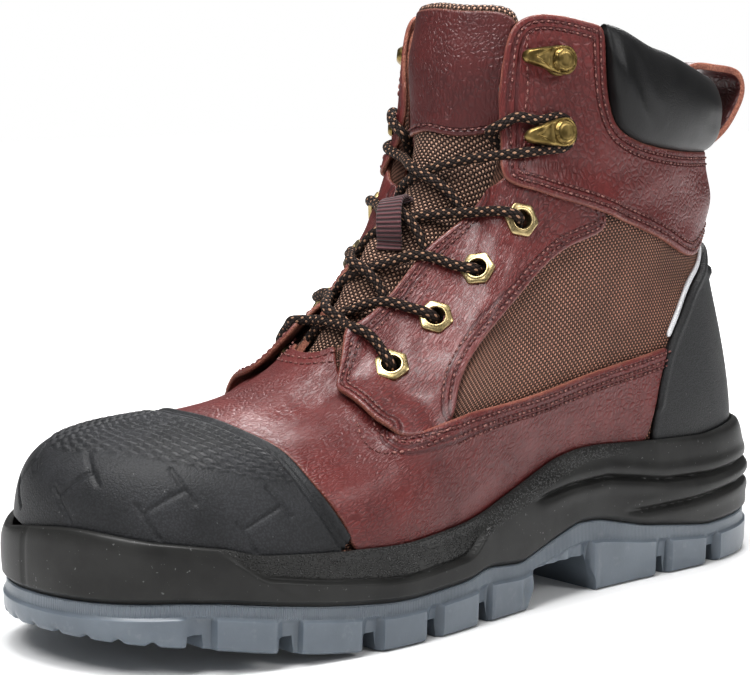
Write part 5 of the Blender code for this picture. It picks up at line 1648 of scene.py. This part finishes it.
def outsole():
    """Half-clear rubber tread: a narrow band, tapered lugs with hollows between, channels underneath."""
    count = 900
    girth = np.arange(count) * GIRTH / count
    edge = sole_edge(girth)
    out = sole_edge_normal(girth)
    x = edge[:, 0]
    floor = sole_height("floor", girth)
    seam = sole_height("seam", girth) - 0.15
    lug = lug_share(x)
    arch = smooth_step((x - 103) / 5) * (1 - smooth_step((x - 147) / 5))
    wave = arch * 0.7 * np.sin(2 * math.pi * x / 7.2)
    toe = smooth_step((x - 284) / 4)
    scallop = toe * 1.3 * np.clip(np.sin(2 * math.pi * girth / 10.5), 0, 1) ** 2
    low = floor + scallop
    band = np.minimum(seam - BAND, seam - 0.3 * (seam - floor))
    rings = []
    marks = []

    def ring(inset, height, mark=0.0):
        rings.append(np.column_stack([edge - out * np.broadcast_to(inset, count)[:, None], height]))
        marks.append(np.full(count, mark))

    ring(4.2 * np.ones(count), low)
    ring(2.2 + 2.0 * (1 - lug), low)
    ring(1.2 + 2.6 * (1 - lug), low + 0.35)
    ring(0.55 + 2.9 * (1 - lug), low + 1.0)
    for share in (0.2, 0.35, 0.5, 0.65, 0.8, 0.9):
        height = low + 1.0 + (band - low - 1.0) * share
        hollow = (1 - lug) * (3.3 - 0.9 * share ** 2) + wave * math.sin(math.pi * share)
        ring(0.3 - 0.25 * share + hollow, height)
    ring(0.1 + 2.2 * (1 - lug), band - 0.4)
    ring(0.9 + 0.7 * (1 - lug), band + 0.3)
    ring(1.15, band + 0.8, 1.0)
    ring(1.15, band + 0.5 * (seam - band), 1.0)
    ring(1.15, seam - 0.7, 1.0)
    ring(1.5, seam - 0.15)
    ring(2.2, seam)
    tread = make_piece("tread_base", np.concatenate(rings), ring_loft(rings), (TREAD_RUBBER,))
    give_numbers(tread, "band", np.concatenate(marks))
    give_flat_map(tread, np.column_stack([np.tile(girth, len(rings)), np.concatenate(rings)[:, 2]]), GIRTH)
    cutters = []
    for gap in LUG_GAPS:
        width = 2 * SOLE_WIDTH
        cutters.append(wedge((gap.x, 0), (gap.wide, width), (gap.narrow, width), -5, gap.root))
    for back, front, depth in CHANNELS:
        length = front - back
        for y in (CHANNEL_Y, -CHANNEL_Y):
            cutters.append(wedge(((back + front) / 2, y), (length, 5), (length, 3), -5, depth))
    for cutter in cutters:
        cut = tread.modifiers.new("gap", "BOOLEAN")
        cut.operation = "DIFFERENCE"
        cut.solver = "MANIFOLD"
        cut.object = cutter
    mesh = evaluated_mesh(tread)
    for old in [tread] + cutters:
        bpy.data.objects.remove(old)
    mesh.set_sharp_from_angle(angle=math.radians(32))
    place_on_boot(new_object("tread_rubber", mesh), "outsole_grey", "outsole")


# Eyelets and hooks

def fitting_frame(panel, place, side):
    """Middle of a fitting on a panel, with directions forwards, sideways and outwards."""
    place = np.array(place, float) if side > 0 else np.array((GIRTH - place[0], place[1]))
    around = place + np.array([(0, 0), (1.5 * side, 0), (-1.5 * side, 0)])
    points = panel.over(around)
    _, normals = panel.surface(place[None])
    out = normals[0]
    forward = points[1] - points[2]
    forward = unit(forward - out * (forward @ out))
    return points[0], forward, np.cross(out, forward), out


def stand(local, fitting):
    middle, forward, sideways, out = fitting
    local = np.asarray(local, float)
    return middle + local[..., [0]] * forward + local[..., [1]] * sideways + local[..., [2]] * out


# Profile of an eyelet from the bottom of its barrel over the rolled mouth to the flange: radius,
# height and how far the radius follows the six-sided flange
EYELET_PROFILE = ((3.45, -3.6, 0), (3.45, -0.9, 0), (4.6, -0.8, 0.8), (5.35, -0.6, 1), (5.5, 0.5, 1),
                  (5.4, 0.85, 1), (5.0, 1.15, 0.9), (4.35, 1.2, 0.35), (4.05, 1.3, 0.1), (3.75, 1.45, 0),
                  (3.45, 1.4, 0), (3.2, 1.1, 0), (3.05, 0.4, 0), (3.0, -3.6, 0))


def eyelet(name, panel, place, side, node):
    sides = 60
    angle = np.arange(sides) * 2 * math.pi / sides
    hexagon = 1 / np.cos(np.mod(angle, math.pi / 3) - math.pi / 6)
    hexagon = np.minimum(hexagon, 1.115)
    rings = []
    for radius, height, share in EYELET_PROFILE:
        reach = radius * (1 + share * (hexagon - 1))
        rings.append(np.column_stack([reach * np.cos(angle), reach * np.sin(angle), np.full(sides, height)]))
    sections = stand(np.stack(rings), fitting_frame(panel, place, side))
    points, faces = tube(sections, closed_ends=False)
    last = (len(rings) - 1) * sides
    faces += [(k, (k + 1) % sides, last + (k + 1) % sides, last + k) for k in range(sides)]
    piece = make_piece(name, points, faces, (EYELET_BRASS,), sharp=38)
    place_on_boot(piece, "brass", node)


HOOK_LIFT = 3.6
HOOK_PLATE = 1.4
# Profile of the rivet's post under the hook as (radius, height)
HOOK_POST = ((0.01, 0), (5.1, 0), (5.3, 0.35), (5.0, 0.8), (3.4, 1.0), (3.0, 1.5), (3.0, HOOK_LIFT + 0.3),
             (0.01, HOOK_LIFT + 0.3))


def hook_outline():
    """Teardrop from the round end at the rivet to the narrow tip in front."""
    outline = []
    for centre, radius, start in ((0.0, 5.6, 0.5), (11.3, 2.7, -0.5)):
        for k in range(18):
            angle = math.pi * (start + k / 17)
            outline.append((centre + radius * math.cos(angle), radius * math.sin(angle)))
    return softened(np.array(outline), 3)


def hook_height(local):
    """Height of the hook's face: a domed nose with a sunk triangle, and a ringed rivet head."""
    x, y = local.T
    dome = 0.9 * np.exp(-((x - 9) / 5.5) ** 2 - (y / 5.5) ** 2)
    inner = np.minimum(np.minimum(x - 4.6, (11.2 - x) * 0.45 - np.abs(y) * 0.85), 2.0)
    sunk = -0.75 * smooth_step(inner / 0.5)
    radius = np.hypot(x + 0.3, y)
    rivet = 0.9 * (1 - smooth_step((radius - 3.7) / 0.45)) - 0.35 * np.exp(-((radius - 4.3) / 0.3) ** 2)
    rivet -= 0.25 * np.exp(-((radius - 2.9) / 0.22) ** 2)
    return dome + sunk + rivet


def hook(name, panel, place, side, node):
    def flat(places):
        return np.insert(places, 2, 0, axis=1), np.tile((0.0, 0.0, 1.0), (len(places), 1))

    loop = loop_of(hook_outline(), soften=1)
    places, faces = divided_loop(flat, loop, (0.38, 0.38))
    inset, _ = nearest(flat(places)[0], dense(flat(np.concatenate([loop, loop[:1]]))[0], 0.1))
    rounding = np.sqrt(1 - np.clip(1 - inset / 0.8, 0, 1) ** 2)
    bottom = HOOK_LIFT - 0.045 * np.clip(places[:, 0] - 6, 0, 20) ** 2
    top = bottom + HOOK_PLATE * (0.45 + 0.55 * rounding) + hook_height(places) * np.clip(inset / 0.7, 0, 1)
    local = np.concatenate([np.column_stack([places, top]), np.column_stack([places, bottom])])
    whole, _ = closed_faces(faces, len(places))
    angle = np.arange(32) * 2 * math.pi / 32
    rings = [np.column_stack([r * np.cos(angle), r * np.sin(angle), np.full(32, z)]) for r, z in HOOK_POST]
    post, post_faces = tube(np.stack(rings))
    whole += [tuple(k + len(local) for k in face) for face in post_faces]
    points = stand(np.concatenate([local, post]), fitting_frame(panel, place, side))
    piece = make_piece(name, points, whole, (HOOK_BRASS,), sharp=40)
    place_on_boot(piece, "brass", node)


def fittings(stays, ankle):
    for side, word in SIDES:
        for row, place in enumerate(EYELETS, 1):
            eyelet(f"brass_eyelet_{word}_{row}", stays[side], place, side, f"eyelet_{word}_{row}")
        for row, place in enumerate(HOOKS, 1):
            hook(f"brass_hook_{word}_{row}", ankle, place, side, f"hook_{word}_{row}")


# Laces

def eased(line, keep):
    """Line of points a millimetre apart, its small bends drawn out past the length to keep."""
    kernel = np.exp(-(np.arange(-14, 15) / 5.0) ** 2)
    longer = np.concatenate([np.repeat(line[:1], 14, axis=0), line, np.repeat(line[-1:], 14, axis=0)])
    soft = np.column_stack([np.convolve(column, kernel / kernel.sum(), "valid") for column in longer.T])
    run = chord_lengths(line)
    share = (smooth_step((run - keep) / 7) * smooth_step((run[-1] - run - 5) / 7))[:, None]
    return line * (1 - share) + soft * share


def cord_tube(points, keep):
    """Points, faces and flat map of a round cord along a smooth line through the points."""
    lengths = chord_lengths(points)
    line = spline(lengths, points, np.linspace(0, lengths[-1], math.ceil(lengths[-1]) + 1))
    line = eased(line, keep)
    side, over = frames_along(line)
    angle = np.arange(16) * 2 * math.pi / 16
    rings = [line + LACE_RADIUS * (side * math.cos(a) + over * math.sin(a)) for a in angle]
    flat = pairs(angle * LACE_RADIUS, chord_lengths(line)[:, None])
    return *tube(np.stack(rings, axis=1)), flat


def from_eyelet(panel, place, side, towards):
    """Points of a lace that comes up through an eyelet and leans towards its next point."""
    middle, _, _, out = fitting_frame(panel, place, side)
    lean = towards - middle
    lean = unit(lean - out * (lean @ out))
    return [middle - out * 5.0 - lean * 0.4, middle - out * 1.6 + lean * 0.2, middle + out * 1.5 + lean * 1.6,
            middle + out * 3.0 + lean * 5.0]


def over_leather(panel, rows, side):
    """Points over a panel from rows of (girth, level, height of the cord's middle)."""
    points = []
    for girth, level, height in rows:
        points += list(panel.over((girth if side > 0 else GIRTH - girth, level), height))
    return points


def over_crown(rows):
    """Points over the tongue from rows of (across, along, extra height)."""
    rows = np.array(rows, float)
    return list(over_tongue(rows[:, :2], LACE_RADIUS + 0.2 + rows[:, 2]))


# Each crossing's strand from the outer side and from the inner side: rows over the leather, then
# rows over the tongue
Strand = namedtuple("Strand", "leather tongue")
CROSSINGS = (
    (Strand(((269, 86.4, 2), (288, 93.6, 2)),
            ((40, 18.8, 0.4), (0, 14.6, 0), (-45, 12.6, 0), (-84, 12, -0.8))),
     Strand(((269, 86.4, 2), (288, 94, 2)),
            ((-45, 22, 1.2), (0, 15.8, 3.4), (45, 14, 1), (84, 13, -0.8)))),
    (Strand(((244, 87.6, 2), (264, 95, 2)),
            ((42, 34.2, 0.5), (0, 29, 0), (-45, 26, 0), (-84, 24.5, -0.8))),
     Strand(((244, 87.6, 2), (264, 95, 2)),
            ((-40, 34.5, 1), (5, 31, 3.5), (45, 28.3, 1.2), (84, 26, -0.8)))),
    (Strand(((207, 82.4, 2), (228, 92.4, 2)),
            ((45, 50, 0.6), (0, 41.5, 0), (-45, 37.8, 0), (-84, 35.5, -0.8))),
     Strand(((207, 82.4, 2), (228, 92.4, 2)),
            ((-30, 48.5, 1), (5, 46.6, 3.4), (40, 45.2, 1.6), (84, 43.5, -0.8)))),
)
# The bar's rows from an eyelet over the leather, and its rows over the tongue
BAR = Strand(((284, 83.4, 2.2), (300, 91, 2.2), (316, 96.5, 2.2)),
             ((40, 13.4, 2), (0, 13.8, 1.8), (-40, 14.2, 2)))
# Lace round the lower hook: from behind the cuff's front edge, round the post and back to the tongue
HOOK_COMING = ((220, 97.6, -6), (217.5, 100, -2), (212.5, 98.9, 2), (202, 94.6, 1.9), (191, 90.9, 1.9))
HOOK_ROUND = ((8.5, 5.0), (3.5, 5.2), (-1.8, 4.8), (-4.6, 2.2), (-4.6, -2.2), (-1.8, -4.8), (3.5, -5.2),
              (9, -5.2))
HOOK_LEAVING = ((188, 84.4, 2.4),)
HOOK_STRANDS = (((40, 65.8, 2.4), (0, 61, 0.8), (-45, 57.5, 0), (-84, 56, -0.8)),
                ((-45, 66, 1.4), (2, 62, 3.2), (40, 58, 1.2), (84, 55.5, -0.8)))


def lace_piece(name, strands, node, keep=5.0):
    points, faces, flats = [], [], []
    count = 0
    for strand in strands:
        strand_points, strand_faces, flat = cord_tube(np.array(strand), keep)
        faces += [tuple(k + count for k in face) for face in strand_faces]
        points.append(strand_points)
        flats.append(flat)
        count += len(strand_points)
    piece = make_piece(name, np.concatenate(points), faces, (CORD,), sharp=60)
    give_flat_map(piece, np.concatenate(flats), 2 * math.pi * LACE_RADIUS)
    place_on_boot(piece, "cord", node)


def laces(stays, ankle):
    """A bar across the lowest eyelets, and above it a crossing between each two rows."""
    ends = []
    for side in (1, -1):
        run = over_leather(stays[side], BAR.leather, side)
        ends.append(from_eyelet(stays[side], EYELETS[0], side, run[0])[:-1] + run)
    lace_piece("lace_cord_bar", [ends[0] + over_crown(BAR.tongue) + ends[1][::-1]], "lace_bar")
    for row, crossing in enumerate(CROSSINGS, 1):
        strands = []
        for side, strand in zip((1, -1), crossing):
            run = over_leather(stays[side], strand.leather, side)
            start = from_eyelet(stays[side], EYELETS[row], side, run[0])
            strands.append(start + run + over_crown(strand.tongue))
        lace_piece(f"lace_cord_cross_{row}", strands, f"lace_cross_{row}")
    strands = []
    for side, rows in zip((1, -1), HOOK_STRANDS):
        post = fitting_frame(ankle, HOOKS[0], side)
        around = [stand((x, -side * y, LACE_RADIUS + 0.05), post) for x, y in HOOK_ROUND]
        coming = over_leather(ankle, HOOK_COMING, side)
        strands.append(coming + around + over_leather(ankle, HOOK_LEAVING, side) + over_crown(rows))
        kept = chord_lengths(coming + around)[-1]
    lace_piece("lace_cord_cross_4", strands, "lace_cross_4", kept)


# Stitches

def stitch_tree():
    """Node tree that lays one stitch at each point, along its seam, as a plain mesh."""
    tree = bpy.data.node_groups.new("stitches", "GeometryNodeTree")
    face = tree.interface
    face.new_socket("Geometry", in_out="INPUT", socket_type="NodeSocketGeometry")
    for name, size in (("Stitch Length", 0.0020), ("Thread Thickness", 0.00082)):
        socket = face.new_socket(name, in_out="INPUT", socket_type="NodeSocketFloat")
        socket.default_value = size
    face.new_socket("Thread", in_out="INPUT", socket_type="NodeSocketMaterial")
    face.new_socket("Geometry", in_out="OUTPUT", socket_type="NodeSocketGeometry")
    start = add(tree, "NodeGroupInput").outputs
    bead = add(tree, "GeometryNodeMeshUVSphere", {"Segments": 6, "Rings": 5, "Radius": 0.5})
    size = add(tree, "ShaderNodeCombineXYZ", {"X": start["Stitch Length"], "Y": start["Thread Thickness"],
                                              "Z": start["Thread Thickness"]})
    thread = add(tree, "GeometryNodeTransform", {"Geometry": bead.outputs["Mesh"], "Scale": size.outputs[0]})
    along, out = (add(tree, "GeometryNodeInputNamedAttribute", {"Name": name}, data_type="FLOAT_VECTOR")
                  for name in ("along", "out"))
    turn = add(tree, "FunctionNodeAlignRotationToVector", {"Vector": along.outputs[0]}, axis="X")
    inputs = {"Rotation": turn.outputs[0], "Vector": out.outputs[0]}
    turn = add(tree, "FunctionNodeAlignRotationToVector", inputs, axis="Z", pivot_axis="X")
    inputs = {"Points": start["Geometry"], "Instance": thread.outputs[0], "Rotation": turn.outputs[0]}
    laid = add(tree, "GeometryNodeInstanceOnPoints", inputs)
    real = add(tree, "GeometryNodeRealizeInstances", {"Geometry": laid.outputs[0]})
    smooth = add(tree, "GeometryNodeSetShadeSmooth", {"Geometry": real.outputs[0]})
    inputs = {"Geometry": smooth.outputs[0], "Material": start["Thread"]}
    finish = add(tree, "GeometryNodeSetMaterial", inputs)
    add(tree, "NodeGroupOutput", {"Geometry": finish.outputs[0]})
    return tree


def stitches():
    middles, alongs, outs = (np.array(column) for column in zip(*STITCHES))
    mesh = bpy.data.meshes.new("stitch_places")
    mesh.from_pydata(to_frame(middles).tolist(), [], [])
    for name, values in (("along", alongs), ("out", outs)):
        field = mesh.attributes.new(name, "FLOAT_VECTOR", "POINT")
        field.data.foreach_set("vector", values.astype(np.float32).ravel())
    places = new_object("stitch_places", mesh)
    layer = places.modifiers.new("stitches", "NODES")
    layer.node_group = stitch_tree()
    for item in layer.node_group.interface.items_tree:
        if item.name == "Thread":
            layer[item.identifier] = THREAD
    sewn = evaluated_mesh(places)
    places.modifiers.remove(layer)
    bpy.data.objects.remove(places)
    sewn.name = "seam_stitches"
    place_on_boot(new_object("seam_stitches", sewn), "cord")


# Stage

# Light of the room near the horizon and overhead
SKY_LOW = 0.03
SKY_HIGH = 0.42
# Lamps: place, size and power
LAMPS = (("key", (0.75, 0.15, 1.05), 0.5, 10.0), ("top", (0.22, 0.08, 1.15), 0.45, 11.0),
         ("side", (-0.35, 1.05, 0.85), 0.4, 5.5), ("back", (-0.7, -0.45, 0.9), 0.5, 10.0))
LAMP_TARGET = (0, 0, 0.08)
CAMERA_PLACE = (688.0, 613.6, 197.0)
CAMERA_TARGET = (71.86, -120.73, 71.22)
CAMERA_LENS = 112.47
VIEW_GAMMA = 0.88


def aim(thing, place, target):
    thing.location = place
    thing.rotation_euler = (Vector(target) - Vector(place)).to_track_quat("-Z", "Y").to_euler()


def stage():
    form = bmesh.new()
    bmesh.ops.create_grid(form, x_segments=1, y_segments=1, size=3.0)
    mesh = bpy.data.meshes.new("floor")
    form.to_mesh(mesh)
    form.free()
    mesh.materials.append(FLOOR)
    floor = new_object("floor", mesh)
    world = bpy.data.worlds.new("studio")
    world.use_nodes = True
    tree = world.node_tree
    up = add(tree, "ShaderNodeSeparateXYZ", {"Vector": add(tree, "ShaderNodeTexCoord").outputs["Generated"]})
    soft = add(tree, "ShaderNodeMapRange", {"Value": up.outputs["Z"], "From Min": -0.1, "From Max": 0.9,
                                            "To Min": SKY_LOW, "To Max": SKY_HIGH}).outputs[0]
    seen = add(tree, "ShaderNodeLightPath").outputs["Is Camera Ray"]
    sky = tree.nodes["Background"]
    sky.inputs["Color"].default_value = (1.0, 1.0, 1.0, 1)
    tree.links.new(calc(tree, "MAXIMUM", soft, seen), sky.inputs["Strength"])
    bpy.context.scene.world = world
    for name, place, size, power in LAMPS:
        lamp = bpy.data.lights.new(name, "AREA")
        lamp.energy = power
        lamp.size = size
        aim(new_object(name, lamp), place, LAMP_TARGET)
    bpy.context.scene.view_settings.view_transform = "Standard"
    bpy.context.scene.view_settings.gamma = VIEW_GAMMA


def camera():
    lens = bpy.data.cameras.new("camera")
    lens.lens = CAMERA_LENS
    lens.sensor_width = 36.0
    lens.sensor_fit = "HORIZONTAL"
    lens.clip_start = 0.01
    view = new_object("camera", lens)
    aim(view, to_frame(CAMERA_PLACE)[0], to_frame(CAMERA_TARGET)[0])
    bpy.context.scene.camera = view


camera()
stage()
quarter_shell()
vamp()
stay_panels = eyestays()
ankle = ankle_panel()
toe_cap()
heel_counter()
piping()
collar()
tongue()
lace_keeper()
pull_loop()
insole()
midsole()
outsole()
fittings(stay_panels, ankle)
laces(stay_panels, ankle)
stitches()
